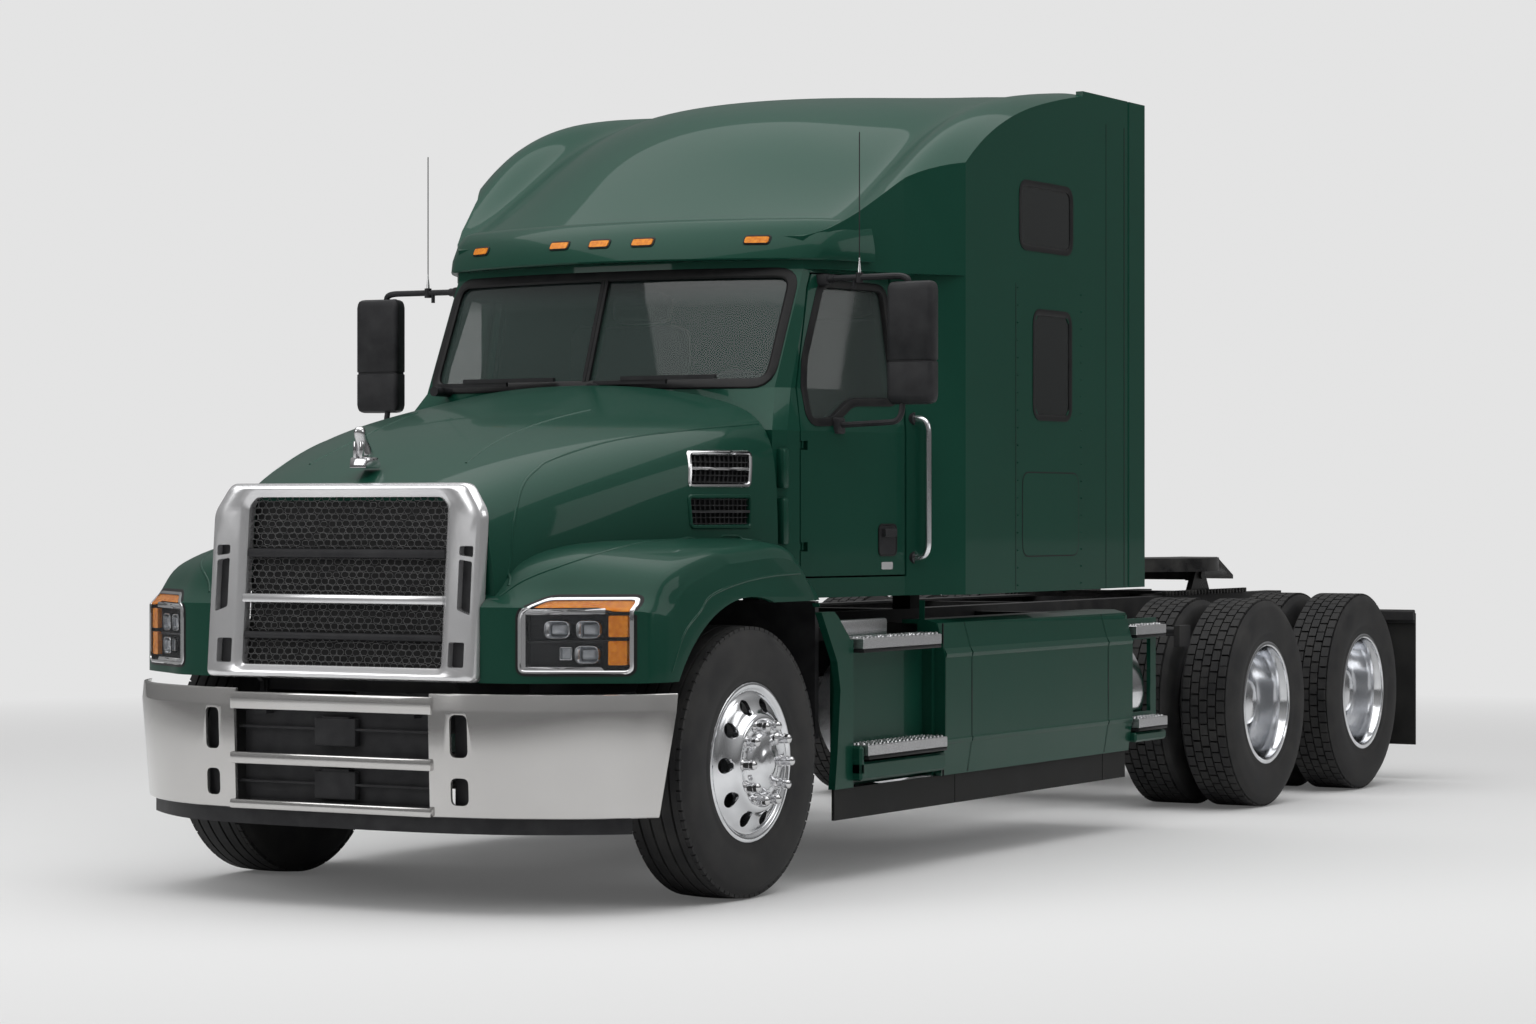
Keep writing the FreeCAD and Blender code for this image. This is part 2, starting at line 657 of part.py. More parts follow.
tail = [box(f"tail_lamp_{x}", x, x + 150, s.rail_rear - 50, s.rail_rear - 10, 785, 885) for x in (-330,
    180)]
finish("lamps", group("lamp_parts", *amber_lamps, *tail))

# Fixed glass
pane = shared("pane_left", glass_skin, pane_plug)
low_glass = window_hole("low_glass", *low_window, side - 14, side - 6, 0.5)
high_glass = window_hole("high_glass", *high_window, side - 14, side - 6, 0.5)
panes = [pane, low_glass, high_glass]
finish("windows", group("fixed_glass", *panes, *[mirrored(item.Name + "_right", item) for item in panes]))

# Extenders behind the sleeper
extender = panel("extender", "XY", [
    (side, s.cab_rear), (side, s.extender_rear - 190), (side - 12, s.extender_rear - 180),
    (side, s.extender_rear - 170), (side, s.extender_rear), (side - s.extender_wall, s.extender_rear),
    (side - s.extender_wall, s.cab_rear)], s.cab_floor, s.extender_top - s.cab_floor)
finish("extenders", pair("extender_pair", extender))

# Inside the cab
inner_face = formed("cab_room", cab_solid(wall, wall))
dash = shared("dash_block", inner_face, box("dash_box", -790, 790, 600, 1060, 1500, 1870))
column = panel("steering_column", "YZ", [(1000, 1700), (1194, 1792), (1180, 1834), (1000, 1750)], 425, 50)
steering_rim = tilted_ring("steering_rim", (450, 1180, 1809), 215, 14, -60)
spoke = panel("steering_spoke", "YZ", [(1185, 1800), (1193, 1820), (1088, 2000), (1080, 1980)], 435, 30)
spoke_low = panel("steering_spoke_low", "YZ", [(1185, 1800), (1193, 1820), (1300, 1640), (1292, 1622)],
    435, 30)
finish("dashboard", joined("dashboard_body", dash, column, spoke, spoke_low, steering_rim))

floor = s.cab_floor + s.cab_wall
pedestals = [box(f"pedestal_{x}", x, x + 340, 1420, 1760, floor, 1500) for x in (-670, 330)]
bunk_base = box("bunk_base", -1050, 1050, 2080, s.cab_rear - s.cab_wall, floor, 1640)
finish("seat_bases", group("seat_base_parts", *pedestals, bunk_base))
cushions = []
for name, x in (("passenger", -760), ("driver", 240)):
    squab = panel(f"seat_{name}", "YZ", [
        (1330, 1500.3), (1780, 1500.3), (1900, 1560), (1960, 2250), (1860, 2260), (1790, 1680),
        (1330, 1660)], x, 520)
    cushions.append(squab)
mattress = box("mattress", -1040, 1040, 2090, s.cab_rear - s.cab_wall - 2, 1640.3, 1790)
finish("seats", group("seat_parts", *cushions, mattress))


# Wipers lie on the base of the windshield
def wiper(name, x):
    boss = rod(name + "_boss", "y", (x, 600, 1935), 20, 140)
    arm = box(name + "_arm", x - 10, x + 330, 640, 655, 1950, 1966)
    blade = box(name + "_blade", x + 120, x + 560, 636, 654, 1966, 1982)
    return joined(name, boss, arm, blade)


wipers = [cut(f"wiper_{x}", wiper(f"wiper_body_{x}", x), cab_outer) for x in (-700, 60)]
finish("wipers", group("wiper_pair", *wipers))

handle_tube = rod("handle_tube", "z", (1125, 1490, 1237), 15, 597)
handle_ends = [rod(f"handle_end_{z}", "x", (1020, 1490, z), 13, 105) for z in (1260, 1810)]
handle = cut("grab_handle", joined("handle_parts", handle_tube, *handle_ends), cab_outer)
finish("grab_handles", pair("handle_pair", handle))

# Side fairings, steps, skirts and tanks
low, high = s.fairing_bottom, s.fairing_top
outer, thick = s.fairing_half, s.fairing_wall
deck_top = high + 14
fairing_section = [
    (outer - 22, low), (outer, low + 140), (outer, high - 132), (outer - 36, high),
    (outer - 90, deck_top),
    (1000, deck_top), (1000, deck_top - 16), (outer - 90, deck_top - 16), (outer - 36 - thick, high - 24),
    (outer - thick, high - 136), (outer - thick, low + 144), (outer - 22 - thick, low)]
main = panel("fairing_main", "XZ", fairing_section, s.fairing_front, s.fairing_rear - s.fairing_front)
pillar = panel("fairing_pillar", "YZ", [
    (490, 1090), (640, 860), (665, 750), (640, 500), (620, low), (770, low), (770, 1090)], outer - 60, 30)
recess = box("fairing_recess", 1080, 1105, 770, s.fairing_front, low, 1080)
front_return = box("fairing_return", 1080, outer - 60, 745, 770, low, 1090)
mid_return = box("fairing_mid_return", 1080, outer - 50, s.fairing_front - 25, s.fairing_front, low, high)
tail_frame = cut("fairing_tail",
                 box("tail_plate", outer - 64, outer - 45, s.fairing_rear, s.step_rear_end, low + 60,
                 high - 30),
                 box("tail_recess", 1000, outer, s.fairing_rear + 80, s.step_rear_end - 60, 530, 860))
tail_return = box("tail_return", outer - 64, outer - 28, s.fairing_rear - 25, s.fairing_rear, low,
    high - 10)
fairing = joined("fairing_body", main, pillar, recess, front_return, mid_return, tail_frame, tail_return)
finish("side_fairings", pair("fairing_pair", fairing))


def step(name, y0, y1, z0, z1, x0, x1):
    tread = box(name + "_tread", x0, x1, y0, y1, z1 - 24, z1)
    lip = box(name + "_lip", x1 - 14, x1, y0, y1, z0, z1 - 24)
    return joined(name, tread, lip)


step_list = [step("step_front_high", 790, 1456, 888, 950, 1105, outer + 5),
             step("step_front_low", 800, 1475, 460, 533, 1105, outer + 20),
             step("step_rear_high", 3373, s.step_rear_end, 880, 930, outer - 45, outer + 10),
             step("step_rear_low", 3360, 3673, 451, 512, outer - 45, outer + 30)]
finish("steps", group("step_parts", *step_list, *[mirrored(item.Name + "_right",
    item) for item in step_list]))

skirt_runs = ((625, 1650), (1656, 3100), (3106, 3345))
skirts = [panel(f"skirt_{y0}", "YZ", [(y0, s.skirt_bottom), (y1, s.skirt_bottom), (y1, low), (y0, low)],
                outer - 48, 12) for y0, y1 in skirt_runs]
finish("skirts", group("skirt_parts", *skirts, *[mirrored(item.Name + "_right",
    item) for item in skirts]))

tank = rod("fuel_tank", "y", (s.tank_centre, s.tank_front, s.tank_height), s.tank_radius,
    s.tank_rear - s.tank_front)
finish("tanks", pair("tank_pair", tank))

brackets = []
for index, y in enumerate((800, 1560, 3300)):
    arm = box(f"bracket_arm_{index}", s.rail_outer, 1080 if index == 0 else outer - 90, y, y + 50, 934,
        deck_top - 16)
    brackets.append(arm)
cradles = []
for index, y in enumerate((1800, 2500, 3150)):
    cradle = box(f"cradle_{index}", s.rail_outer, 900, y, y + 60, 760, 940)
    cradles.append(cut(f"tank_cradle_{index}", cradle, tank))
supports = brackets + cradles
finish("fairing_brackets", group("bracket_parts", *supports,
                                 *[mirrored(item.Name + "_right", item) for item in supports]))

# Fifth wheel: brackets on the rails, plate that tilts on their pins
ears = []
for x in (-1, 1):
    foot = box(f"coupling_foot_{x}", s.rail_outer - 88 if x > 0 else -s.rail_outer,
               s.rail_outer if x > 0 else -s.rail_outer + 88, s.plate_centre - 420, s.plate_centre + 420,
               s.rail_top, s.rail_top + 16)
    ear = panel(f"coupling_ear_{x}", "YZ", [
        (s.plate_centre - 130, s.rail_top + 10), (s.plate_centre + 130, s.rail_top + 10),
        (s.plate_centre + 45, s.plate_axis + 40), (s.plate_centre - 45, s.plate_axis + 40)],
        s.rail_outer - 40 if x > 0 else -s.rail_outer + 10, 30)
    bore = rod(f"coupling_bore_{x}", "x", (x * s.rail_outer - 100, s.plate_centre, s.plate_axis), 20.3,
        200)
    ears.append(cut(f"coupling_side_{x}", joined(f"coupling_bracket_{x}", foot, ear), bore))
tie = box("coupling_tie", -342, 342, s.plate_centre - 60, s.plate_centre + 60, s.rail_top,
    s.rail_top + 16)
finish("fifth_wheel_base", joined("coupling_base", *ears, tie))

plate_disc = rod("plate_disc", "z", (0, s.plate_centre, s.plate_top - s.plate_wall), s.plate_radius,
    s.plate_wall)
ramps = [panel(f"plate_ramp_{side_sign}", "YZ", [
    (s.plate_centre + 250, s.plate_top - s.plate_wall), (s.plate_centre + 250, s.plate_top),
    (s.plate_centre + 440, s.plate_top), (s.plate_centre + 660, s.plate_top - 100),
    (s.plate_centre + 660, s.plate_top - 120), (s.plate_centre + 440, s.plate_top - s.plate_wall)],
    120 if side_sign > 0 else -330, 210) for side_sign in (-1, 1)]
rim_band = cut("plate_rim", rod("plate_rim_outer", "z", (0, s.plate_centre, s.plate_top - 70),
    s.plate_radius, 50),
               rod("plate_rim_inner", "z", (0, s.plate_centre, s.plate_top - 80), s.plate_radius - 20,
               80))
ribs = box("plate_rib", -385, 385, s.plate_centre - 50, s.plate_centre - 28, s.plate_axis - 24,
    s.plate_top - 20)
ear_plates = [box(f"plate_ear_{x}", x, x + 28, s.plate_centre - 50, s.plate_centre + 50,
                  s.plate_axis - 28, s.plate_top - 20) for x in (-384, 356)]
pins = [rod(f"plate_pin_{x}", "x", (x, s.plate_centre, s.plate_axis), 20, 70) for x in (-434, 364)]
plate_body = joined("plate_body", plate_disc, rim_band, ribs, *ear_plates, *pins, *ramps)
throat_front = s.plate_centre
throat = panel("throat_slot", "XY", [
    (-s.throat_radius, throat_front), (-s.throat_radius, throat_front + 120), (-110, throat_front + 300),
    (-110, throat_front + 800), (110, throat_front + 800), (110, throat_front + 300),
    (s.throat_radius, throat_front + 120), (s.throat_radius, throat_front)], s.plate_top - 200, 300)
throat_round = rod("throat_round", "z", (0, throat_front, s.plate_top - 200), s.throat_radius, 300)
finish("fifth_wheel_plate", cut("plate_top_cut", plate_body, throat, throat_round))

flap = box("mud_flap", 600, 1210, s.rail_rear - 30, s.rail_rear - 30 + s.flap_wall, s.flap_bottom, 895)
finish("mudflaps", pair("flap_pair", flap))


# Hood: crowned skin with the fenders, hollow below
lean = 57
surround_back = -1012 + 50
hood_stations = [-925, -640, -120, 260]
hood_rows = [
    [(0, 1535), (300, 1530), (500, 1500), (600, 1400), (625, 1250), (640, 1080)],
    [(0, 1680), (320, 1670), (580, 1620), (690, 1510), (735, 1340), (760, 1080)],
    [(0, 1830), (350, 1818), (700, 1765), (845, 1660), (895, 1500), (905, 1080)],
    [(0, 1892), (360, 1880), (750, 1815), (895, 1710), (925, 1540), (925, 1080)],
    [(0, 1950), (370, 1938), (780, 1865), (900, 1750), (930, 1570), (930, 1080)],
]


def hood_ring(y, row, inset):
    half = []
    for i, (x, z) in enumerate(row):
        inwards = inset * min(1.0, i / 3)
        low = z if i == len(row) - 1 else z - inset * (1 - max(0, i - 3) / 3)
        half.append(Vector(x - inwards, y, low))
    return whole_row(half)


# The hood's skin as flat facets on its net, its inside moved in by the wall
def hood_facets(wall, front=0, rear=0):
    places = [hood_stations[0] + front, *hood_stations[1:], sizes["hood_rear"] + rear]
    surface = net_surface([hood_ring(y, row, wall) for y, row in zip(places, hood_rows)])
    return solid_of(flat_faces([[surface.value(share,
        cross) for cross in cross_shares] for share in long_shares]))


hood_skin = formed("hood_skin", hood_facets(0))
hood_room = formed("hood_room", hood_facets(sizes["hood_wall"], 20, 20))


def fender_loop(x, front_y, drop, rear_z, inset=0.0):
    bottom = sizes["fender_bottom"] - (1 if inset else 0)
    z = lambda value: value - drop - inset
    rear = sizes["hood_rear"] + (10 if inset else -3)
    return [Vector(x, front_y + inset, bottom), Vector(x, front_y + inset, 1100 - drop * 0.4 - inset),
            Vector(x, front_y + 60, 1150 - drop * 0.6 - inset), Vector(x, front_y + 170, z(1262)),
            Vector(x, front_y + 400, z(1325)), Vector(x, -120, z(1343)), Vector(x, 300, z(1347)),
            Vector(x, 500, z(rear_z + 60)), Vector(x, rear, z(rear_z)), Vector(x, rear, bottom)]


fender_sections = [(560, -985, 0, 1290), (760, -948, 0, 1290), (900, -858, 6, 1280),
    (1060, -752, 26, 1200),
                   (1130, -690, 46, 1120), (sizes["fender_half"], -600, 92, 1120)]


def fender_solid(inset):
    loops = []
    for index, (x, front_y, drop, rear_z) in enumerate(fender_sections):
        if index == len(fender_sections) - 1:
            x -= inset
        loops.append(fender_loop(x, front_y, drop, rear_z, inset))
    return loops


fender_outer = formed("fender_outer", solid_of(flat_faces(fender_solid(0))))
fender_room = formed("fender_room", solid_of(flat_faces(fender_solid(sizes["hood_wall"]))))
arch = rod("arch_round", "x", (-1300, 0, axle), s.arch_radius, 2600)
arch_back = box("arch_back", -1300, 1300, 0, 900, 400, 1100)
front_room = box("front_room", -500, 500, -1100, -800, 700, 1480)
surround_room = panel("surround_room", "YZ", [
    (-1200, 700), (surround_back + 2, 700), (surround_back + 2, s.surround_bottom),
    (surround_back + 2 + lean * 870 / 715, 1700),
    (-1200, 1700)], -s.surround_half - 2, 2 * s.surround_half + 4)
lamp_line = [(753, 868), (1092, 866), (1092, 1134), (830, 1134), (753, 1084)]
lamp_hole = panel("lamp_hole", "XZ", lamp_line, -1100, 500)
lamp_holes = [lamp_hole, mirrored("lamp_hole_right", lamp_hole)]
vent_lines = {"high": [(-40, 1538), (398, 1541), (398, 1668), (-32, 1662)],
              "low": [(-44, 1378), (395, 1378), (395, 1496), (-42, 1493)]}
vent_high = panel("vent_high_hole", "YZ", vent_lines["high"], 780, 300)
vent_low = panel("vent_low_hole", "YZ", vent_lines["low"], 780, 300)
vent_holes = [vent_high, vent_low, mirrored("vent_high_right", vent_high),
    mirrored("vent_low_right", vent_low)]
hood_one_side = joined("hood_one_side", hood_skin, fender_outer)
hood_solid = joined("hood_solid", hood_one_side, mirrored("fender_outer_right", fender_outer))
hood_hollow = joined("hood_hollow", hood_room, fender_room, mirrored("fender_room_right", fender_room))
hood = cut("hood_body", hood_solid, hood_hollow, arch, arch_back, front_room, surround_room,
    *lamp_holes, *vent_holes)
finish("hood", hood)

# Grille surround with two pillars, a top bow and cross bars
surround_low, surround_high = s.surround_bottom, s.surround_top
surround_outline = [(-s.surround_half, surround_low), (s.surround_half, surround_low),
    (s.surround_half, 1440),
                    (s.surround_half - 72, surround_high), (-s.surround_half + 72, surround_high),
                    (-s.surround_half, 1440)]
slab = panel("surround_slab", "YZ", [
    (surround_back - 50, surround_low), (surround_back, surround_low),
    (surround_back + lean, surround_high + 5),
    (surround_back + lean - 50, surround_high + 5)], -s.surround_half - 5, 2 * s.surround_half + 10)
surround_plate = shared("surround_plate", slab, panel("surround_face", "XZ", surround_outline, -1200,
    400))
lugs = [box(f"hood_lug_{x}", x, x + 15, surround_back - 12, -s.hinge_y + 16, s.surround_bottom + 2,
    s.hinge_z + 18)
        for x in (-470, -425, 410, 455)]
hood_pins = [rod(f"hood_pin_{x}", "x", (x, -s.hinge_y, s.hinge_z), s.hinge_pin, 60) for x in (-470, 410)]
pockets = [panel(f"pocket_{name}_{sign}", "XZ", [(sign * x, z) for x, z in points][::sign], -1200, depth)
           for sign in (-1, 1)
           for name, depth, points in (
               ("top", 200, [(515, 1285), (575, 1278), (575, 1318), (515, 1318)]),
               ("tall", 210, [(515, 1090), (572, 1070), (572, 1262), (515, 1270)]),
               ("low", 200, [(486, 884), (554, 884), (554, 974), (486, 974)]))]
surround_open = panel("surround_open", "XZ", [
    (-s.grille_half, 880), (s.grille_half, 880), (s.grille_half, 1460), (s.grille_half - 30, 1492),
    (-s.grille_half + 30, 1492), (-s.grille_half, 1460)], -1100, 300)
bars_cut = [box(f"grille_bar_{low_z}", -s.grille_half - 5, s.grille_half + 5, -988, -960, low_z, high_z)
            for low_z, high_z in ((1106, 1139),)]
finish("grille_surround", joined("surround_body", cut("surround_frame", surround_plate, surround_open,
    *pockets),
                                 *bars_cut, *lugs, *hood_pins))


def leaning(name, x0, x1, low_z, high_z, near, far):
    spots = [(surround_back + (z - 830) / 715 * lean, z) for z in (low_z, high_z)]
    (y0, z0), (y1, z1) = spots
    return panel(name, "YZ", [(y0 + near, z0), (y0 + far, z0), (y1 + far, z1), (y1 + near, z1)], x0,
        x1 - x0)


half = s.grille_half
mesh_bars = [leaning(f"mesh_bar_{low_z}", -half, half, low_z, high_z, -38, -12)
             for low_z, high_z in ((974, 999), (1272, 1305))]
mesh_rows = [leaning(f"mesh_row_{i}", -half, half, 890 + 57 * i, 902 + 57 * i, -26,
    -16) for i in range(10) if i != 4]
mesh_slats = [leaning(f"mesh_slat_{i}", -410 + 82 * i - 6, -410 + 82 * i + 6, 880, 1460, -16,
    -6) for i in range(11)]
finish("grille_mesh", joined("mesh_body", *mesh_bars, *mesh_rows, *mesh_slats))

# Headlamps fill the openings in the fenders
lamp_plug = panel("lamp_plug", "XZ", grown(lamp_line, -s.window_gap), -1100, 500)
lamp_body = cut("headlamp", shared("lamp_form", fender_outer, lamp_plug),
                formed("lamp_back", solid_of(flat_faces(fender_solid(70)))), arch)
finish("headlamps", pair("headlamp_pair", lamp_body))

vent_bodies = []
for name, points in vent_lines.items():
    plug = panel(f"vent_plug_{name}", "YZ", grown(points, -s.window_gap), 780, 300)
    vent_bodies.append(cut(f"vent_{name}", shared(f"vent_form_{name}", hood_skin, plug), hood_room))
finish("hood_vents", group("vent_parts", *vent_bodies, *[mirrored(item.Name + "_right",
    item) for item in vent_bodies]))

ornament_base = box("ornament_base", -38, 38, -880, -790, 1500, 1640)
ornament_body = panel("ornament_body", "YZ", [
    (-865, 1625), (-800, 1625), (-812, 1680), (-845, 1745), (-885, 1752), (-878, 1700)], -16, 32)
finish("hood_ornament", cut("ornament", joined("ornament_parts", ornament_base, ornament_body), hood_skin,
                            surround_plate))

# Mirrors on their arms, carried by the doors
housing = panel("mirror_housing", "XY", [(1180, 1010), (1395, 1000), (1400, 1060), (1340, 1120), (1200,
    1110)],
                1864, 488)
arm_high = rod("mirror_arm_high", "x", (840, 1050, 2374), 13, 425)
arm_drop = rod("mirror_arm_drop", "z", (1262, 1050, 2330), 13, 54)
arm_foot = box("mirror_arm_foot", 840, 905, 1030, 1075, 2350, 2388)
arm_low = rod("mirror_arm_low", "x", (900, 1020, 1790), 12, 350)
arm_rise = rod("mirror_arm_rise", "z", (1245, 1020, 1780), 12, 110)
low_foot = box("mirror_low_foot", 900, 985, 985, 1050, 1745, 1815)
post = rod("antenna", "z", (1045, 1050, 2380), 4, 574)
mirror = cut("mirror_body", joined("mirror_parts", housing, arm_high, arm_drop, arm_foot, arm_low,
    arm_rise, low_foot, post), cab_outer)
finish("mirror_left", mirror)
finish_mirrored("mirror_right", mirror)


# Knuckles: yoke round the axle's boss, pin, spindle and steering arm
def knuckle(name):
    pin = rod(name + "_pin", "z", (s.kingpin_offset, 0, axle - 115), s.kingpin_radius, 230)
    caps = [rod(f"{name}_cap_{z}", "z", (s.kingpin_offset, 0, axle + z), boss_radius, 30) for z in (85,
        -115)]
    web = box(name + "_web", s.kingpin_offset + 52, s.kingpin_offset + 80, -46, 46, axle - 115,
        axle + 115)
    links = [box(f"{name}_link_{z}", s.kingpin_offset, s.kingpin_offset + 60, -40, 40, axle + z,
        axle + z + 30)
             for z in (85, -115)]
    spindle = rod(name + "_spindle", "x", (s.kingpin_offset + 60, 0, axle), 38, 200)
    arm = box(name + "_arm", s.kingpin_offset - 20, s.kingpin_offset + 14, 0, s.steering_arm + 25,
        axle - 115,
              axle - 91)
    return joined(name, pin, *caps, web, *links, spindle, arm)


knuckle_left = knuckle("knuckle")
finish("knuckle_left", knuckle_left)
finish_mirrored("knuckle_right", knuckle_left)
rod_height = axle - 150
track = rod("track_tube", "x", (-s.kingpin_offset + 40, s.steering_arm, rod_height), 17,
    2 * s.kingpin_offset - 80)
stubs = [rod(f"track_stub_{x}", "z", (x * s.kingpin_offset, s.steering_arm, rod_height - 20), 20,
             axle - 115 - s.seat_gap - rod_height + 20) for x in (-1, 1)]
ends = [box("track_end_left", s.kingpin_offset - 60, s.kingpin_offset - 3, s.steering_arm - 15,
    s.steering_arm + 15,
            rod_height - 15, rod_height + 15),
        box("track_end_right", -s.kingpin_offset + 3, -s.kingpin_offset + 60, s.steering_arm - 15,
            s.steering_arm + 15, rod_height - 15, rod_height + 15)]
finish("track_rod", joined("track_rod_body", track, *stubs, *ends))


# Tyres and wheels as rings of flat bands, a flat one on the ground
def ring_loops(profile, x_centre, y, count):
    loops = []
    for x, radius in profile:
        reach = radius / math.cos(math.pi / count)
        loops.append([Vector(x_centre + x, y + reach * math.sin(2 * math.pi * (i + 0.5) / count),
                             sizes["tyre_radius"] - reach * math.cos(2 * math.pi * (i + 0.5) / count))
                      for i in range(count)])
    return loops


tyre_sides, half_width = 32, sizes["tyre_width"] / 2
tyre_profile = [(-half_width + 18, sizes["rim_radius"] + 1), (-half_width, 400), (-half_width + 30, 494),
                (-half_width + 42, sizes["tyre_radius"]), (half_width - 42, sizes["tyre_radius"]),
                (half_width - 30, 494), (half_width, 400), (half_width - 18, sizes["rim_radius"] + 1)]


def tyre_solid(x, y):
    return solid_of(flat_faces(ring_loops(tyre_profile, x, y, tyre_sides), closed_ring=True))


def ring_solid(profile, x, y, count, closed_ring=True):
    return solid_of(flat_faces(ring_loops(profile, x, y, count), closed_ends=not closed_ring,
        closed_ring=closed_ring))


rim_half, rim_r = sizes["rim_width"] / 2, sizes["rim_radius"]
front_profile = [(-rim_half, rim_r), (rim_half, rim_r), (rim_half, rim_r - 22), (rim_half - 40, 250),
    (72, 238),
                 (40, 110), (130, 105), (150, 60), (150, 38.3), (-60, 38.3), (-60, 110), (18, 112),
                 (48, 238),
                 (-rim_half, 262)]
front_y, front_x = 0.0, sizes["front_track"]
for sign, name in ((1, "left"), (-1, "right")):
    if sign > 0:
        tyre = formed("tyre_front", tyre_solid(front_x, front_y))
        disc = formed("rim_front", ring_solid(front_profile, front_x, front_y, tyre_sides))
        hand_holes = []
        for i in range(10):
            angle = 2 * math.pi * (i + 0.5) / 10
            hand_holes.append(prism(f"hand_hole_{i}", "x", (
                s.front_track - 20, 190 * math.sin(angle), axle + 190 * math.cos(angle)), 27, 120, 10))
        wheel = cut("wheel_disc", disc, *hand_holes)
        finish("tyre_front_left", tyre)
        finish("wheel_front_left", wheel)
        left_tyre, left_wheel = tyre, wheel
    else:
        finish_mirrored("tyre_front_right", left_tyre)
        finish_mirrored("wheel_front_right", left_wheel)

outer_x, inner_x = sizes["dual_outer"], sizes["dual_inner"]
drive_profile = [(inner_x - rim_half, rim_r), (outer_x + rim_half, rim_r),
    (outer_x + rim_half, rim_r - 24),
                 (outer_x - 60, 250), (outer_x - 150, 236), (outer_x - 165, 120), (outer_x + 40, 112),
                 (outer_x + 46, 55.3), (outer_x - 100, 55.3), (inner_x - 60, 80), (inner_x - 60, 215),
                 (inner_x - rim_half, 262)]
drive_centres = {"mid": drive_one, "rear": drive_two}
for name, y in drive_centres.items():
    y = float(y)
    tyres = [formed(f"tyre_{name}_{tag}", tyre_solid(x, y)) for tag,
        x in (("outer", outer_x), ("inner", inner_x))]
    tyre_pair = group(f"tyres_{name}", *tyres)
    wheel = formed(f"rim_{name}", ring_solid(drive_profile, 0, y, tyre_sides))
    finish(f"tyres_{name}_left", tyre_pair)
    finish_mirrored(f"tyres_{name}_right", tyre_pair)
    finish(f"wheel_{name}_left", wheel)
    finish_mirrored(f"wheel_{name}_right", wheel)

doc.recompute()
for item in doc.Objects:
    if {"Invalid", "Error"} & set(item.State):
        raise RuntimeError(f"{item.Label} did not build")
os.makedirs("parts", exist_ok=True)
for name, item in nodes.items():
    shape = item.Shape
    if shape.isNull() or not shape.isValid() or not shape.Solids:
        raise RuntimeError(f"{name} has no valid solid")
    shape.exportStep(f"parts/{name}.step")
    print(name, len(shape.Solids), round(shape.Volume / 1e6, 2))
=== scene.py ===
import bpy
import bmesh
import math
from mathutils import Matrix, Vector
from mathutils.bvhtree import BVHTree


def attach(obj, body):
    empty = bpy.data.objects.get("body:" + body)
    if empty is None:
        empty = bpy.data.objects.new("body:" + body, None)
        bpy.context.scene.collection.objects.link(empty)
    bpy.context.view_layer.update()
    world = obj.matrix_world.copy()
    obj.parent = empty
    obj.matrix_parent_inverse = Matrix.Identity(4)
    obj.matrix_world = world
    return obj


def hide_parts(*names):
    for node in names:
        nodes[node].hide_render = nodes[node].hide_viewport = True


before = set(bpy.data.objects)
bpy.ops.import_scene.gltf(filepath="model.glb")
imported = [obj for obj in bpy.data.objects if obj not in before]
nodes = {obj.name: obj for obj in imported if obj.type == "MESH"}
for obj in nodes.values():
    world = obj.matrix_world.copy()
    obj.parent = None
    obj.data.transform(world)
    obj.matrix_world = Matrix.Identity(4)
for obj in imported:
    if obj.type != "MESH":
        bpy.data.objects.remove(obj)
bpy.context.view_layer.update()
middle = (1062 - 7050) / 2  # from the front axle to the middle of the vehicle, in millimetres
axle = 509  # height of the wheel centres
sides = (("left", 1), ("right", -1))
mergeGap = 0.00002  # points closer than this become one, in metres
smoothAngle = 32  # edges that turn by more degrees than this stay sharp


# Shape tools: sizes are in millimetres from the front axle, meshes in metres
def spot(x, y, z):
    return Vector((x / 1000, (y + middle) / 1000, z / 1000))


def vectors(points):
    return [Vector(point) for point in points]


def fourCorners(low, high, near, far):
    return (low, near), (high, near), (high, far), (low, far)


def sided(sign, inner, outer):  # two distances from the middle as a pair from right to left
    return sorted((sign * inner, sign * outer))


def turns(count):
    return [2 * math.pi * k / count for k in range(count)]


def linked(name, mesh):
    obj = bpy.data.objects.new(name, mesh)
    bpy.context.scene.collection.objects.link(obj)
    return obj


def fromFaces(name, points, faces):
    mesh = bpy.data.meshes.new(name)
    mesh.from_pydata([tuple(point) for point in points], [], faces)
    return linked(name, mesh)


def cleaned(obj, angle=smoothAngle):
    shape = bmesh.new()
    shape.from_mesh(obj.data)
    bmesh.ops.remove_doubles(shape, verts=shape.verts, dist=mergeGap)
    bmesh.ops.dissolve_degenerate(shape, edges=shape.edges, dist=mergeGap)
    bmesh.ops.recalc_face_normals(shape, faces=shape.faces)
    shape.to_mesh(obj.data)
    shape.free()
    obj.data.shade_smooth()
    obj.data.set_sharp_from_angle(angle=math.radians(angle))
    return obj


def baked(obj):
    graph = bpy.context.evaluated_depsgraph_get()
    graph.update()
    mesh = bpy.data.meshes.new_from_object(obj.evaluated_get(graph), depsgraph=graph)
    obj.modifiers.clear()
    obj.data = mesh
    return obj


def softened(obj):
    tool = obj.modifiers.new("soft", "SUBSURF")
    tool.levels = tool.render_levels = 1
    return baked(obj)


def dropped(obj):
    bpy.data.objects.remove(obj)


def carved(obj, others, operation="DIFFERENCE"):
    for other in others:
        tool = obj.modifiers.new("carve", "BOOLEAN")
        tool.solver = "EXACT"
        tool.operation = operation
        tool.object = other
    baked(obj)
    for other in others:
        dropped(other)
    return obj


def edged(obj, width, segments=2, angle=35):
    tool = obj.modifiers.new("edges", "BEVEL")
    tool.width = width / 1000
    tool.segments = segments
    tool.limit_method = "ANGLE"
    tool.angle_limit = math.radians(angle)
    return cleaned(baked(obj))


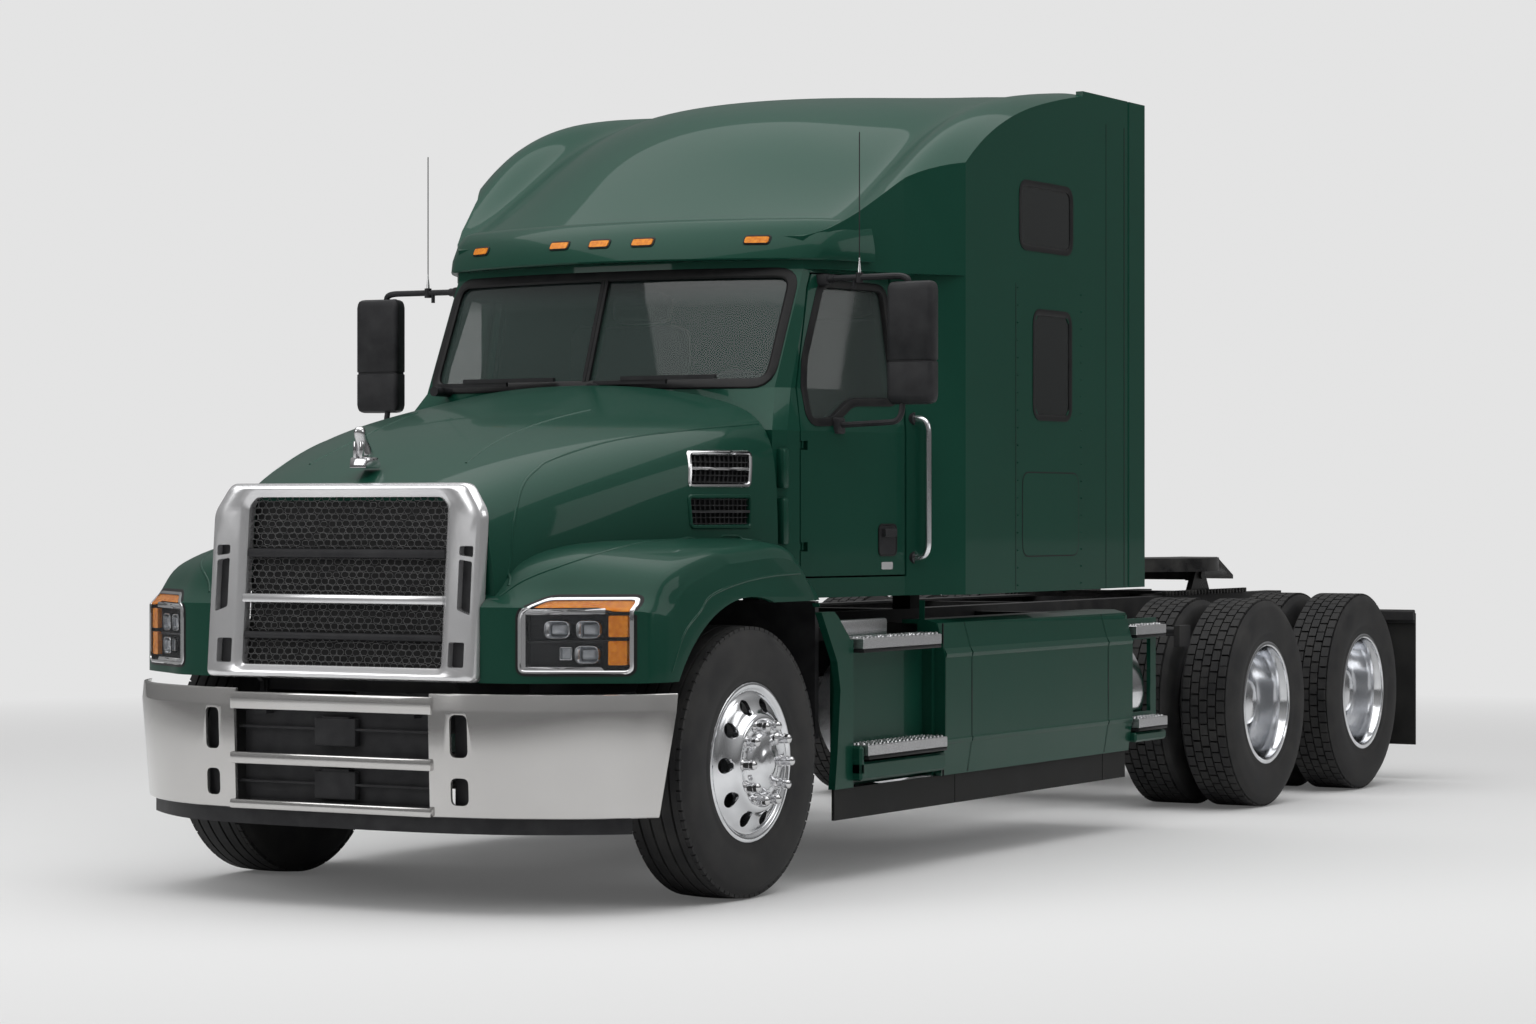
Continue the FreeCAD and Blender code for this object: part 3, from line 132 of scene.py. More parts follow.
# Points and faces that join loops of equal length, as a closed ring or with a cap at each end
def ranked(loops, ring=False, caps=True):
    count, faces = len(loops[0]), []
    bands = len(loops) if ring else len(loops) - 1
    for band in range(bands):
        low, high = band * count, (band + 1) % len(loops) * count
        faces += [(low + i, low + (i + 1) % count, high + (i + 1) % count, high + i) for i in range(count)]
    if caps and not ring:
        faces += [tuple(range(count)), tuple(range((len(loops) - 1) * count, len(loops) * count))]
    return [point for loop in loops for point in loop], faces


def lofted(name, loops, ring=False):
    return cleaned(fromFaces(name, *ranked(loops, ring)))


def block(name, x0, x1, y0, y1, z0, z1, edge=0):
    obj = lofted(name, [[spot(x, y, z) for x, y in fourCorners(x0, x1, y0, y1)] for z in (z0, z1)])
    return edged(obj, edge) if edge else obj


planes = {"YZ": lambda u, v, w: spot(w, u, v), "XZ": lambda u, v, w: spot(u, w, v),
          "XY": lambda u, v, w: spot(u, v, w)}
axes = {"x": lambda a, b, c: (c, a, b), "y": lambda a, b, c: (a, c, b), "z": lambda a, b, c: (a, b, c)}


def plate(name, plane, outline, start, end, edge=0):
    obj = lofted(name, [[planes[plane](u, v, level) for u, v in outline] for level in (start, end)])
    return edged(obj, edge) if edge else obj


def turned(name, profile, x, y, count=96):
    loops = [[spot(x + along, y + reach * math.sin(turn), axle + reach * math.cos(turn))
              for along, reach in profile]
             for turn in turns(count)]
    return lofted(name, loops, ring=True)


def disc(name, axis, centre, radius, length, count=32):
    centre, place = Vector(centre), axes[axis]
    loops = [[spot(*(centre + Vector(place(radius * math.cos(turn), radius * math.sin(turn), end))))
              for turn in turns(count)] for end in (0, length)]
    return lofted(name, loops)


# Points of a soft bend from start to end, drawn towards the corner
def bend(start, corner, end, shares):
    return [start * (1 - share) ** 2 + corner * 2 * share * (1 - share) + end * share ** 2
            for share in shares]


def softCorner(before, corner, after, radius, part, steps):
    start, end = (corner + (other - corner).normalized() * min(radius, (other - corner).length / part)
                  for other in (before, after))
    return bend(start, corner, end, [k / steps for k in range(steps + 1)])


def bent(points, radius):
    points = vectors(points)
    path = [points[0]]
    for before, corner, after in zip(points, points[1:], points[2:]):
        path += softCorner(before, corner, after, radius, 2, 6)
    return path + [points[-1]]


def rounded(points, radius):
    points = vectors(points)
    line = []
    for i, corner in enumerate(points):
        line += softCorner(points[i - 1], corner, points[(i + 1) % len(points)], radius, 2.05, 5)
    return line


def tube(name, points, radius, bendRadius=0, rounds=3, closed=False):
    curve = bpy.data.curves.new(name, "CURVE")
    curve.dimensions = "3D"
    curve.bevel_depth = radius / 1000
    curve.bevel_resolution = rounds
    curve.use_fill_caps = not closed
    path = bent(points, bendRadius) if bendRadius else vectors(points)
    line = curve.splines.new("POLY")
    line.points.add(len(path) - 1)
    line.use_cyclic_u = closed
    for dot, point in zip(line.points, path):
        dot.co = (*spot(*point), 1)
    obj = linked(name + "_path", curve)
    graph = bpy.context.evaluated_depsgraph_get()
    mesh = bpy.data.meshes.new_from_object(obj.evaluated_get(graph), depsgraph=graph)
    dropped(obj)
    return cleaned(linked(name, mesh), 50)


# Extra points along a closed line, so that each step is shorter than two gaps
def filled(line, gap):
    dense = []
    for i, point in enumerate(line):
        after = line[(i + 1) % len(line)]
        parts = max(1, int((after - point).length / gap))
        dense += [point.lerp(after, k / parts) for k in range(parts)]
    return dense


# The closed line moved outwards, or inwards where the distance is below nought
def moved(line, distance):
    area = sum(a.x * b.y - b.x * a.y for a, b in zip(line, line[1:] + line[:1]))
    turn = 1 if area > 0 else -1
    result = []
    for i, point in enumerate(line):
        along = (line[(i + 1) % len(line)] - line[i - 1]).normalized()
        result.append(point + Vector((along.y, -along.x)) * distance * turn)
    return result


def oblong(u, v, wide, high, radius, gap=12):
    return filled(rounded(fourCorners(u - wide / 2, u + wide / 2, v - high / 2, v + high / 2), radius), gap)


# A solid strip along a closed line: each pair of the section is a step outwards and a lift off the surface
def rim(name, line, section, place):
    loops = [[place(point.x, point.y, lift) for point in moved(line, out)] for out, lift in section]
    return lofted(name, loops, ring=True)


# A thin cover inside a closed line, which follows the surface
def cover(name, line, place, top, bottom, rings=6):
    centre = sum(line, Vector((0, 0))) / len(line)
    shares = [1 - i / rings for i in range(rings)]
    loops = [[place(*centre.lerp(point, share), top) for point in line] for share in shares]
    under = [[place(*centre.lerp(point, share), bottom) for point in line] for share in reversed(shares)]
    points, faces = ranked(loops[::-1] + under[::-1], caps=False)
    count = len(line)
    points += [place(*centre, top), place(*centre, bottom)]
    faces += [(i, (i + 1) % count, len(points) - 2) for i in range(count)]
    last = (2 * rings - 1) * count
    faces += [(last + (i + 1) % count, last + i, len(points) - 1) for i in range(count)]
    return cleaned(fromFaces(name, points, faces))


overX = Matrix.Scale(-1, 4, (1, 0, 0))


def mirrored(obj, name):
    copy = linked(name, obj.data.copy())
    copy.data.transform(overX)
    return cleaned(copy)


def flipped(obj, name):  # keeps inner walls turned as they are
    copy = linked(name, obj.data.copy())
    copy.data.transform(overX)
    copy.data.flip_normals()
    return copy


def inFinish(obj, key):
    obj.data.materials.clear()
    obj.data.materials.append(finishes[key])
    return obj


# One mesh of several parts, each in its own finish
def together(name, parts):
    shape = bmesh.new()
    slots = []
    for part in parts:
        start = len(shape.faces)
        shape.from_mesh(part.data)
        shape.faces.ensure_lookup_table()
        finish = part.data.materials[0] if part.data.materials else None
        if finish not in slots:
            slots.append(finish)
        for face in shape.faces[start:]:
            face.material_index = slots.index(finish)
    mesh = bpy.data.meshes.new(name)
    shape.to_mesh(mesh)
    shape.free()
    for finish in slots:
        if finish:
            mesh.materials.append(finish)
    for part in parts:
        dropped(part)
    mesh.set_sharp_from_angle(angle=math.radians(smoothAngle))
    return linked(name, mesh)


# The finished piece: its body, its finish where it has one, and the solids that it stands for
def dressed(obj, body, finish=None, stands=()):
    if finish:
        inFinish(obj, finish)
    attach(obj, body)
    if stands:
        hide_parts(*stands)
    return obj


# Weights of a cubic spline's points at a share of its length
def splineShares(count, share):
    knots = [0.0] * 4 + [(i + 1) / (count - 3) for i in range(count - 4)] + [1.0] * 4
    share = min(share, 1 - 1e-9)
    weights = [1.0 if knots[i] <= share < knots[i + 1] else 0.0 for i in range(len(knots) - 1)]
    for degree in (1, 2, 3):
        for i in range(len(knots) - 1 - degree):
            left = (share - knots[i]) / (knots[i + degree] - knots[i]) if knots[i + degree] > knots[i] else 0
            high = knots[i + degree + 1]
            right = (high - share) / (high - knots[i + 1]) if high > knots[i + 1] else 0
            weights[i] = left * weights[i] + right * weights[i + 1]
    return weights[:count]


# Points of the smooth surface that is drawn towards a net
def netLoops(rows, longCount, crossCount):
    across = [splineShares(len(rows[0]), i / crossCount) for i in range(crossCount + 1)]
    loops = []
    for k in range(longCount + 1):
        along = splineShares(len(rows), k / longCount)
        line = [sum((row[j] * weight for row, weight in zip(rows, along)), Vector())
                for j in range(len(rows[0]))]
        loops.append([sum((point * weight for point, weight in zip(line, weights)), Vector())
                      for weights in across])
    return loops


def wholeLine(half):  # the points of the left half and their mirror images
    return [Vector((-point.x, *point[1:])) for point in half[:0:-1]] + half


def curveThrough(points, parts):
    points, line = vectors(points), []
    ends = [points[0] * 2 - points[1], *points, points[-1] * 2 - points[-2]]
    for a, b, c, d in zip(ends, ends[1:], ends[2:], ends[3:]):
        for k in range(parts):
            t = k / parts
            low = b * 2 + (c - a) * t
            high = (a * 2 - b * 5 + c * 4 - d) * t * t + (b * 3 - a - c * 3 + d) * t ** 3
            line.append((low + high) / 2)
    return line + [points[-1]]


# A curved front seen from above: its radius from half its width and its depth, and its place at x
def bowRadius(half, sag):
    return (half ** 2 + sag ** 2) / (2 * sag)


def bowAt(x, nose, radius):
    return nose + radius - math.sqrt(radius ** 2 - x ** 2)


def treeOf(*objs):
    points, faces = [], []
    for obj in objs:
        start = len(points)
        points += [vertex.co.copy() for vertex in obj.data.vertices]
        faces += [[start + i for i in face.vertices] for face in obj.data.polygons]
    return BVHTree.FromPolygons(points, faces)


# Places a point on a surface: seen along a way from a start, and lifted off against that way
def seenFrom(tree, start, way):
    way = Vector(way)

    def place(u, v, lift=0.0):
        eye = start(u, v)
        hit = tree.ray_cast(eye, way)[0] or tree.find_nearest(eye)[0]
        return hit - way * lift / 1000
    return place


# Node tools
class Wire:  # one socket; sums of wires become Math nodes
    def __init__(self, tree, socket):
        self.tree = tree
        self.socket = socket

    def maths(self, operation, other, swap=False):
        first, second = (other, self) if swap else (self, other)
        return self.tree.add("ShaderNodeMath", {"operation": operation}, {0: first, 1: second})[0]

    def __add__(self, other):
        return self.maths("ADD", other)

    def __radd__(self, other):
        return self.maths("ADD", other, True)

    def __sub__(self, other):
        return self.maths("SUBTRACT", other)

    def __rsub__(self, other):
        return self.maths("SUBTRACT", other, True)

    def __mul__(self, other):
        return self.maths("MULTIPLY", other)

    def __rmul__(self, other):
        return self.maths("MULTIPLY", other, True)

    def __truediv__(self, other):
        return self.maths("DIVIDE", other)

    def __mod__(self, other):
        return self.maths("MODULO", other)


class Made:  # a node that has been added, whose outputs are wires
    def __init__(self, tree, node):
        self.tree = tree
        self.node = node

    def __getitem__(self, key):
        return Wire(self.tree, self.node.outputs[key])


class Tree:
    def __init__(self, tree):
        self.tree = tree

    def add(self, kind, settings=None, sockets=None):
        node = self.tree.nodes.new(kind)
        for key, value in (settings or {}).items():
            setattr(node, key, value)
        for key, value in (sockets or {}).items():
            if isinstance(value, (Wire, list)):
                for wire in value if isinstance(value, list) else [value]:
                    self.tree.links.new(wire.socket, node.inputs[key])
            else:
                node.inputs[key].default_value = value
        return Made(self, node)

    def blend(self, share, low, high):
        low, high = (tone if isinstance(tone, Wire) else (*tone, 1) for tone in (low, high))
        return self.add("ShaderNodeMix", {"data_type": "RGBA", "blend_type": "MIX"},
                        {0: share, 6: low, 7: high})[2]

    def spread(self, value, low, high, start=0.0, end=1.0):
        return self.add("ShaderNodeMapRange", {}, {0: value, 1: start, 2: end, 3: low, 4: high})[0]

    def noise(self, place, scale, detail=3.0):
        return self.add("ShaderNodeTexNoise", {}, {"Vector": place, "Scale": scale, "Detail": detail})["Fac"]

    def bump(self, height, strength):
        return self.add("ShaderNodeBump", {}, {"Strength": strength, "Distance": 0.001, "Height": height})[0]

    def shine(self, sockets):
        shader = self.add("ShaderNodeBsdfPrincipled", {}, sockets)
        self.add("ShaderNodeOutputMaterial", {}, {"Surface": shader[0]})

    def trio(self, x=0.0, y=0.0, z=0.0):
        return self.add("ShaderNodeCombineXYZ", {}, {0: x, 1: y, 2: z})[0]

    def stray(self, low, high, seed):
        return self.add("FunctionNodeRandomValue", {"data_type": "FLOAT"}, {2: low, 3: high, "Seed": seed})[1]


def materialTree(name):
    material = bpy.data.materials.new(name)
    material.use_nodes = True
    material.node_tree.nodes.clear()
    tree = Tree(material.node_tree)
    return material, tree, tree.add("ShaderNodeTexCoord")["Object"]


# A finish whose colour, gloss and grain vary a little over the surface
def surface(name, tone, shade, scale, gloss, metal=0.0, grain=0.0, grainScale=400.0, stretch=None):
    material, tree, place = materialTree(name)
    if stretch:
        place = tree.add("ShaderNodeMapping", {}, {"Vector": place, "Scale": stretch})[0]
    cloud = tree.noise(place, scale)
    sockets = {"Base Color": tree.blend(tree.spread(cloud, 0, 1, 0.35, 0.7), tone, shade),
               "Roughness": tree.spread(cloud, *gloss, 0.3, 0.7), "Metallic": metal,
               "Specular IOR Level": 0.5 if metal else 0.22}
    if grain:
        sockets["Normal"] = tree.bump(tree.noise(place, grainScale, 2.0), grain)
    tree.shine(sockets)
    return material


paintLook = {"deep": (0.0035, 0.040, 0.0245), "light": (0.009, 0.071, 0.046), "flakeScale": 1400.0,
             "flakes": 0.5,
             "dustScale": 1.3, "dust": 0.35, "gloss": (0.34, 0.44), "metal": 0.16, "coat": 0.27,
             "coatGloss": 0.04,
             "peelScale": 260.0, "peel": 0.03}


def paintFinish(name):
    material, tree, place = materialTree(name)
    flakes = tree.add("ShaderNodeTexVoronoi", {"feature": "F1"},
                      {"Vector": place, "Scale": paintLook["flakeScale"]})
    sparkle = tree.add("ShaderNodeSeparateColor", {}, {"Color": flakes["Color"]})[0]
    dust = tree.noise(place, paintLook["dustScale"], 5.0)
    share = sparkle * paintLook["flakes"] + dust * paintLook["dust"]
    tree.shine({"Base Color": tree.blend(share, paintLook["deep"], paintLook["light"]),
                "Metallic": paintLook["metal"],
                "Roughness": tree.spread(dust, *paintLook["gloss"], 0.3, 0.7),
                "Coat Weight": paintLook["coat"],
                "Coat Roughness": paintLook["coatGloss"], "Specular IOR Level": 0.1,
                "Normal": tree.bump(tree.noise(place, paintLook["peelScale"], 1.0), paintLook["peel"])})
    return material


tyreTones = {"black": (0.018, 0.018, 0.019), "worn": (0.042, 0.041, 0.040), "gloss": (0.62, 0.8),
             "grain": 0.25}


def tyreFinish(name):
    material, tree, place = materialTree(name)
    cloud = tree.noise(place, 9.0, 6.0)
    tone = tree.blend(tree.spread(cloud, 0, 1, 0.35, 0.75), tyreTones["black"], tyreTones["worn"])
    tree.shine({"Base Color": tone, "Roughness": tree.spread(cloud, *tyreTones["gloss"], 0.3, 0.7),
                "Specular IOR Level": 0.35,
                "Normal": tree.bump(tree.noise(place, 700.0, 2.0), tyreTones["grain"])})
    return material


# band: the colour of a painted dark reflection along the top of the windshield. It lies between two heights
# and covers what is behind by its own share
glassLook = {"band": (0.01, 0.014, 0.014), "bandFrom": 2.26, "bandTo": 2.38,
             "bandCover": 0.98}  # heights in metres


# Glass that covers what is behind it by a share, with a painted dark reflection as a band along the top where
# asked
def glassFinish(name, tone, share, band=False):
    material, tree, place = materialTree(name)
    height = tree.add("ShaderNodeSeparateXYZ", {}, {0: place})[2]
    # shade: the share of the painted dark reflection, which rises with height
    shade = tree.spread(height, 0, 1, glassLook["bandFrom"], glassLook["bandTo"]) if band else 0.0
    tree.shine({"Base Color": tree.blend(shade, tone, glassLook["band"]),
                "Roughness": tree.spread(tree.noise(place, 2.2), 0.02, 0.05, 0.3, 0.7),
                "Alpha": shade * (glassLook["bandCover"] - share) + share, "Specular IOR Level": 0.6})
    return material


def weaveFinish(name, tone, shade, pitch):
    material, tree, place = materialTree(name)
    warp, weft = (tree.add("ShaderNodeTexWave", {"wave_type": "BANDS", "bands_direction": way}, {
        "Vector": place, "Scale": pitch, "Distortion": 0.6, "Detail": 1.0})["Fac"] for way in ("X", "Z"))
    woven = warp * weft
    tree.shine({"Base Color": tree.blend(woven * 0.7 + tree.noise(place, 5.0, 4.0) * 0.3, shade, tone),
                "Roughness": 0.85, "Sheen Weight": 0.25, "Normal": tree.bump(woven, 0.4)})
    return material


# Each surface: name, two tones, size of the clouds, gloss range, metal, grain and its scale, and the stretch
finishes = {
    "paint": paintFinish("green_paint"),
    "chrome": surface("bright_chrome", (0.70, 0.70, 0.71), (0.62, 0.62, 0.63), 3.0, (0.06, 0.12), 1.0),
    "satin": surface("satin_chrome", (0.80, 0.80, 0.81), (0.72, 0.72, 0.73), 5.0, (0.14, 0.22), 0.72, 0.03,
                     900.0),
    "bumper": surface("bumper_chrome", (0.60, 0.59, 0.58), (0.55, 0.54, 0.53), 2.0, (0.10, 0.16), 0.78),
    "wire": surface("mesh_wire", (0.13, 0.13, 0.13), (0.06, 0.06, 0.062), 30.0, (0.3, 0.42)),
    "alloy": surface("polished_alloy", (0.80, 0.81, 0.83), (0.66, 0.67, 0.69), 8.0, (0.10, 0.20), 1.0, 0.04,
                     600.0),
    "brushed": surface("brushed_tread_metal", (0.62, 0.62, 0.63), (0.44, 0.44, 0.45), 30.0, (0.28, 0.42), 1.0,
                       0.15, 120.0, (1, 8, 8)),
    "frame": surface("chassis_black", (0.022, 0.022, 0.024), (0.045, 0.044, 0.043), 7.0, (0.4, 0.55), 0.0,
                     0.12, 300.0),
    "cast": surface("cast_black", (0.03, 0.03, 0.032), (0.06, 0.057, 0.054), 12.0, (0.42, 0.62), 0.3, 0.3,
                    180.0),
    "grease": surface("greased_iron", (0.02, 0.02, 0.021), (0.075, 0.073, 0.07), 9.0, (0.22, 0.5), 0.6, 0.2,
                      60.0),
    "engine": surface("engine_grey", (0.16, 0.165, 0.17), (0.10, 0.10, 0.10), 10.0, (0.45, 0.6), 0.2, 0.2,
                      120.0),
    "plastic": surface("grained_black", (0.020, 0.020, 0.022), (0.034, 0.034, 0.036), 14.0, (0.42, 0.52), 0.0,
                       0.35, 900.0),
    "seal": surface("seal_rubber", (0.008, 0.008, 0.009), (0.014, 0.014, 0.014), 20.0, (0.4, 0.5), 0.0, 0.1,
                    500.0),
    "rubber": surface("flap_rubber", (0.012, 0.012, 0.012), (0.022, 0.022, 0.021), 6.0, (0.55, 0.7), 0.0,
                      0.3, 300.0),
    "tyre": tyreFinish("tyre_rubber"),
    # the windshield carries the painted dark reflection band along its top
    "glass": glassFinish("windshield_glass_painted_reflection", (0.07, 0.105, 0.096), 0.3, True),
    "side": glassFinish("door_glass", (0.045, 0.062, 0.057), 0.5),
    "tinted": glassFinish("tinted_glass", (0.018, 0.02, 0.02), 0.96),
    "lens": glassFinish("lamp_lens", (0.20, 0.21, 0.22), 0.07),
    "reflector": surface("lamp_reflector", (0.62, 0.63, 0.65), (0.4, 0.41, 0.42), 30.0, (0.12, 0.2), 1.0),
    "bulb": surface("lamp_bulb", (0.5, 0.52, 0.55), (0.35, 0.37, 0.4), 40.0, (0.05, 0.1), 0.2),
    "amber": surface("amber_lens", (0.85, 0.30, 0.02), (0.62, 0.16, 0.01), 60.0, (0.12, 0.2), 0.0, 0.3,
                     220.0),
    "red": surface("red_lens", (0.45, 0.01, 0.01), (0.25, 0.005, 0.005), 40.0, (0.15, 0.22), 0.0, 0.3, 220.0),
    "fabric": weaveFinish("seat_weave", (0.05, 0.051, 0.054), (0.022, 0.022, 0.024), 260.0),
    "trim": surface("cab_trim", (0.055, 0.056, 0.058), (0.036, 0.037, 0.038), 10.0, (0.5, 0.65), 0.0, 0.3,
                    500.0)}
print("finishes made")

# The finish of each solid that the frame brings
carried = {
    "frame": ("frame_rails", "crossmembers", "driveline", "fairing_brackets", "track_rod"),
    "cast": ("front_axle", "suspension", "drive_axles", "knuckle_left", "knuckle_right"),
    "rubber": ("air_springs", "cab_mounts", "skirts", "mudflaps"), "engine": ("engine",),
    "lens": ("headlamps",),
    "plastic": ("bumper_core", "wipers", "grille_mesh", "hood_vents", "mirror_left", "mirror_right"),
    "paint": ("cab", "cab_floor", "cab_back", "extenders", "side_fairings", "door_left", "door_right",
              "visor",
              "roof", "hood"),
    "trim": ("dashboard", "seat_bases"), "grease": ("fifth_wheel_base", "fifth_wheel_plate"),
    "side": ("door_glass_left", "door_glass_right"), "glass": ("windows",),
    "chrome": ("bumper", "hood_ornament"),
    "satin": ("grille_surround",), "brushed": ("steps",), "fabric": ("seats",), "amber": ("lamps",)}
for name, obj in nodes.items():
    plain = "tyre" if name.startswith("tyre") else "alloy"
    inFinish(obj, next((key for key, names in carried.items() if name in names), plain))

# Camera, floor and light
cameraLook = {"lens": 85.89, "sensor": 36, "turn": 29.82, "place": (7.9817, -14.7782, 1.4393)}
camera = linked("photo_camera", bpy.data.cameras.new("photo_camera"))
camera.data.lens = cameraLook["lens"]
camera.data.sensor_width = cameraLook["sensor"]
camera.location = cameraLook["place"]
camera.rotation_euler = (math.radians(90), 0, math.radians(cameraLook["turn"]))
bpy.context.scene.camera = camera

stageLook = {"floor": ((-90, -90, 0), (90, -90, 0), (90, 150, 0), (-90, 150, 0)), "pale": 0.775,
             "floorTone": 0.79,
             "near": 4.5, "far": 13.0, "keep": 0.10, "sky": 0.42, "horizon": 0.09}
softboxLook = {  # place, target, width, height, power
    "overhead": ((0.5, -2.0, 9.0), (0, -1.0, 0), 14.0, 12.0, 860),
    "front": ((-4.5, -10.5, 4.6), (-0.2, -3.0, 1.6), 4.5, 3.5, 120),
    "side": ((9.0, 1.5, 5.5), (1.0, 0.5, 1.5), 5.0, 3.0, 70)}


# A floor that fades to the pale background away from the vehicle
def stageFloor():
    material, tree, place = materialTree("floor_pale")
    flat = tree.add("ShaderNodeVectorMath", {"operation": "LENGTH"}, {0: place})["Value"]
    seen = tree.add("ShaderNodeLightPath")["Is Camera Ray"]
    away = tree.spread(flat, stageLook["keep"], 1.0, stageLook["near"], stageLook["far"])
    diffuse = tree.add("ShaderNodeBsdfDiffuse", {}, {"Color": (stageLook["floorTone"],) * 3 + (1,)})
    glow = tree.add("ShaderNodeEmission", {}, {"Color": (stageLook["pale"],) * 3 + (1,), "Strength": 1.0})
    mix = tree.add("ShaderNodeMixShader", {}, {0: seen * away, 1: diffuse[0], 2: glow[0]})
    tree.add("ShaderNodeOutputMaterial", {}, {"Surface": mix[0]})
    floor = fromFaces("floor", stageLook["floor"], [(0, 1, 2, 3)])
    floor.data.materials.append(material)


def studioLight():
    world = bpy.data.worlds.new("studio")
    bpy.context.scene.world = world
    world.use_nodes = True
    world.node_tree.nodes.clear()
    tree = Tree(world.node_tree)
    up = tree.add("ShaderNodeSeparateXYZ", {}, {0: tree.add("ShaderNodeTexCoord")["Generated"]})[2]
    tone = tree.spread(up, stageLook["horizon"], stageLook["sky"], 0.0, 0.6)
    seen = tree.add("ShaderNodeLightPath")["Is Camera Ray"]
    level = seen * (stageLook["pale"] - tone) + tone
    light = tree.add("ShaderNodeBackground", {}, {"Color": level, "Strength": 1.0})
    tree.add("ShaderNodeOutputWorld", {}, {"Surface": light[0]})
    for name, (place, target, width, height, power) in softboxLook.items():
        lamp = bpy.data.lights.new(name + "_softbox", "AREA")
        lamp.shape = "RECTANGLE"
        lamp.size = width
        lamp.size_y = height
        lamp.energy = power
        obj = linked(name + "_softbox", lamp)
        obj.location = place
        obj.rotation_euler = (Vector(target) - Vector(place)).to_track_quat("-Z", "Y").to_euler()


bpy.context.scene.view_settings.view_transform = "Standard"
stageFloor()
studioLight()
print("stage and camera set")

# Hood and fenders: a crowned skin drawn towards a net of points
hoodLook = {"long": 44, "cross": 72, "wall": 22, "arch": 615, "stations": (-925, -640, -120, 260, 600)}
hoodRows = (
    ((0, 1535), (300, 1530), (500, 1500), (600, 1400), (625, 1250), (640, 1080)),
    ((0, 1680), (320, 1670), (580, 1620), (690, 1510), (735, 1340), (760, 1080)),
    ((0, 1830), (350, 1818), (700, 1765), (845, 1660), (895, 1500), (905, 1080)),
    ((0, 1892), (360, 1880), (750, 1815), (895, 1710), (925, 1540), (925, 1080)),
    ((0, 1950), (370, 1938), (780, 1865), (900, 1750), (930, 1570), (930, 1080)))
fenderLook = {"foot": 830, "rear": 600}
fenderSections = ((560, -985, 0, 1290), (760, -948, 0, 1290), (900, -858, 6, 1280), (1060, -752, 26, 1200),
                  (1130, -690, 46, 1120), (1160, -600, 92, 1120))
lampLine = ((753, 868), (1092, 866), (1092, 1134), (830, 1134), (753, 1084))
ventLines = {"high": ((20, 1540), (400, 1543), (436, 1668), (66, 1664)),
             "low": ((10, 1384), (395, 1384), (404, 1499), (8, 1497))}
surroundLook = {"back": -962, "foot": 830, "lean": 57, "high": 715}


def wholeRow(row, y, inset):
    half = []
    for i, (x, z) in enumerate(row):
        low = z if i == len(row) - 1 else z - inset * (1 - max(0, i - 3) / 3)
        half.append(spot(x - inset * min(1.0, i / 3), y, low))
    return wholeLine(half)


def hoodBlock(name, inset=0, back=0):
    first, *between, last = hoodLook["stations"]
    rows = [wholeRow(row, y, inset) for y, row in zip((first + back, *between, last + back), hoodRows)]
    return lofted(name, netLoops(rows, hoodLook["long"], hoodLook["cross"]))


def fenderLoop(x, frontY, drop, rearZ, inset):
    foot = fenderLook["foot"] - (1 if inset else 0)
    rear = fenderLook["rear"] + (10 if inset else -3)
    rise = ((frontY + inset, 1100, 0.4), (frontY + 60, 1150, 0.6), (frontY + 170, 1262, 1),
            (frontY + 400, 1325, 1),
            (-120, 1343, 1), (300, 1347, 1), (500, rearZ + 60, 1), (rear, rearZ, 1))
    top = curveThrough([(y, z - drop * share - inset) for y, z, share in rise], 6)
    return vectors([(x, frontY + inset, foot), *((x, y, z) for y, z in top), (x, rear, foot)])


def fenderBlock(name, inset=0):
    rough = []
    for section in fenderSections:
        x, frontY, drop, rearZ = section
        x -= inset if section is fenderSections[-1] else 0
        rough.append(fenderLoop(x, frontY, drop, rearZ, inset))
    lines = [curveThrough([loop[i] for loop in rough], 5) for i in range(len(rough[0]))]
    return lofted(name, [[spot(*line[k]) for line in lines] for k in range(len(lines[0]))])


def fromFront(tree):
    return seenFrom(tree, lambda x, z: spot(x, -1800, z), (0, 1, 0))


def surroundAt(z):  # where the back of the leaning surround is
    return surroundLook["back"] + (z - surroundLook["foot"]) / surroundLook["high"] * surroundLook["lean"]


hoodSkin = hoodBlock("hood_skin")
fenderLeft = fenderBlock("fender_left")
fenderRight = mirrored(fenderLeft, "fender_right")
skinTree = treeOf(hoodSkin, fenderLeft, fenderRight)
onHoodSide = seenFrom(skinTree, lambda y, z: spot(1600, y, z), (-1, 0, 0))
onHoodFront = fromFront(skinTree)
room = hoodBlock("hood_room", hoodLook["wall"], 20)
fenderRooms = [fenderBlock("fender_room", hoodLook["wall"])]
fenderRooms.append(mirrored(fenderRooms[0], "fender_room_right"))
surroundRoom = ((-1200, 700), (surroundLook["back"] + 2, 700),
                (surroundLook["back"] + 2, surroundLook["foot"]),
                (surroundAt(1700) + 2, 1700), (-1200, 1700))
cutters = [disc("arch_round", "x", (-1300, 0, axle), hoodLook["arch"], 2600, 96),
           block("arch_back", -1300, 1300, 0, 900, 400, 1100),
           block("front_room", -500, 500, -1100, -800, 700, 1480),
           plate("surround_room", "YZ", surroundRoom, -606, 606)]
for sign in (1, -1):
    cutters.append(plate("lamp_hole", "XZ", [(sign * x, z) for x, z in rounded(lampLine, 26)], -1100, -600))
    for line in ventLines.values():
        cutters.append(plate("vent_hole", "YZ", rounded(line, 16), sign * 780, sign * 1080))
hood = carved(hoodSkin, [fenderLeft, fenderRight], "UNION")
hood = cleaned(carved(hood, [room, *fenderRooms, *cutters]), 28)
dressed(hood, "hood", "paint", ["hood"]).name = "hood_shell"
print("hood shaped", len(hood.data.polygons))

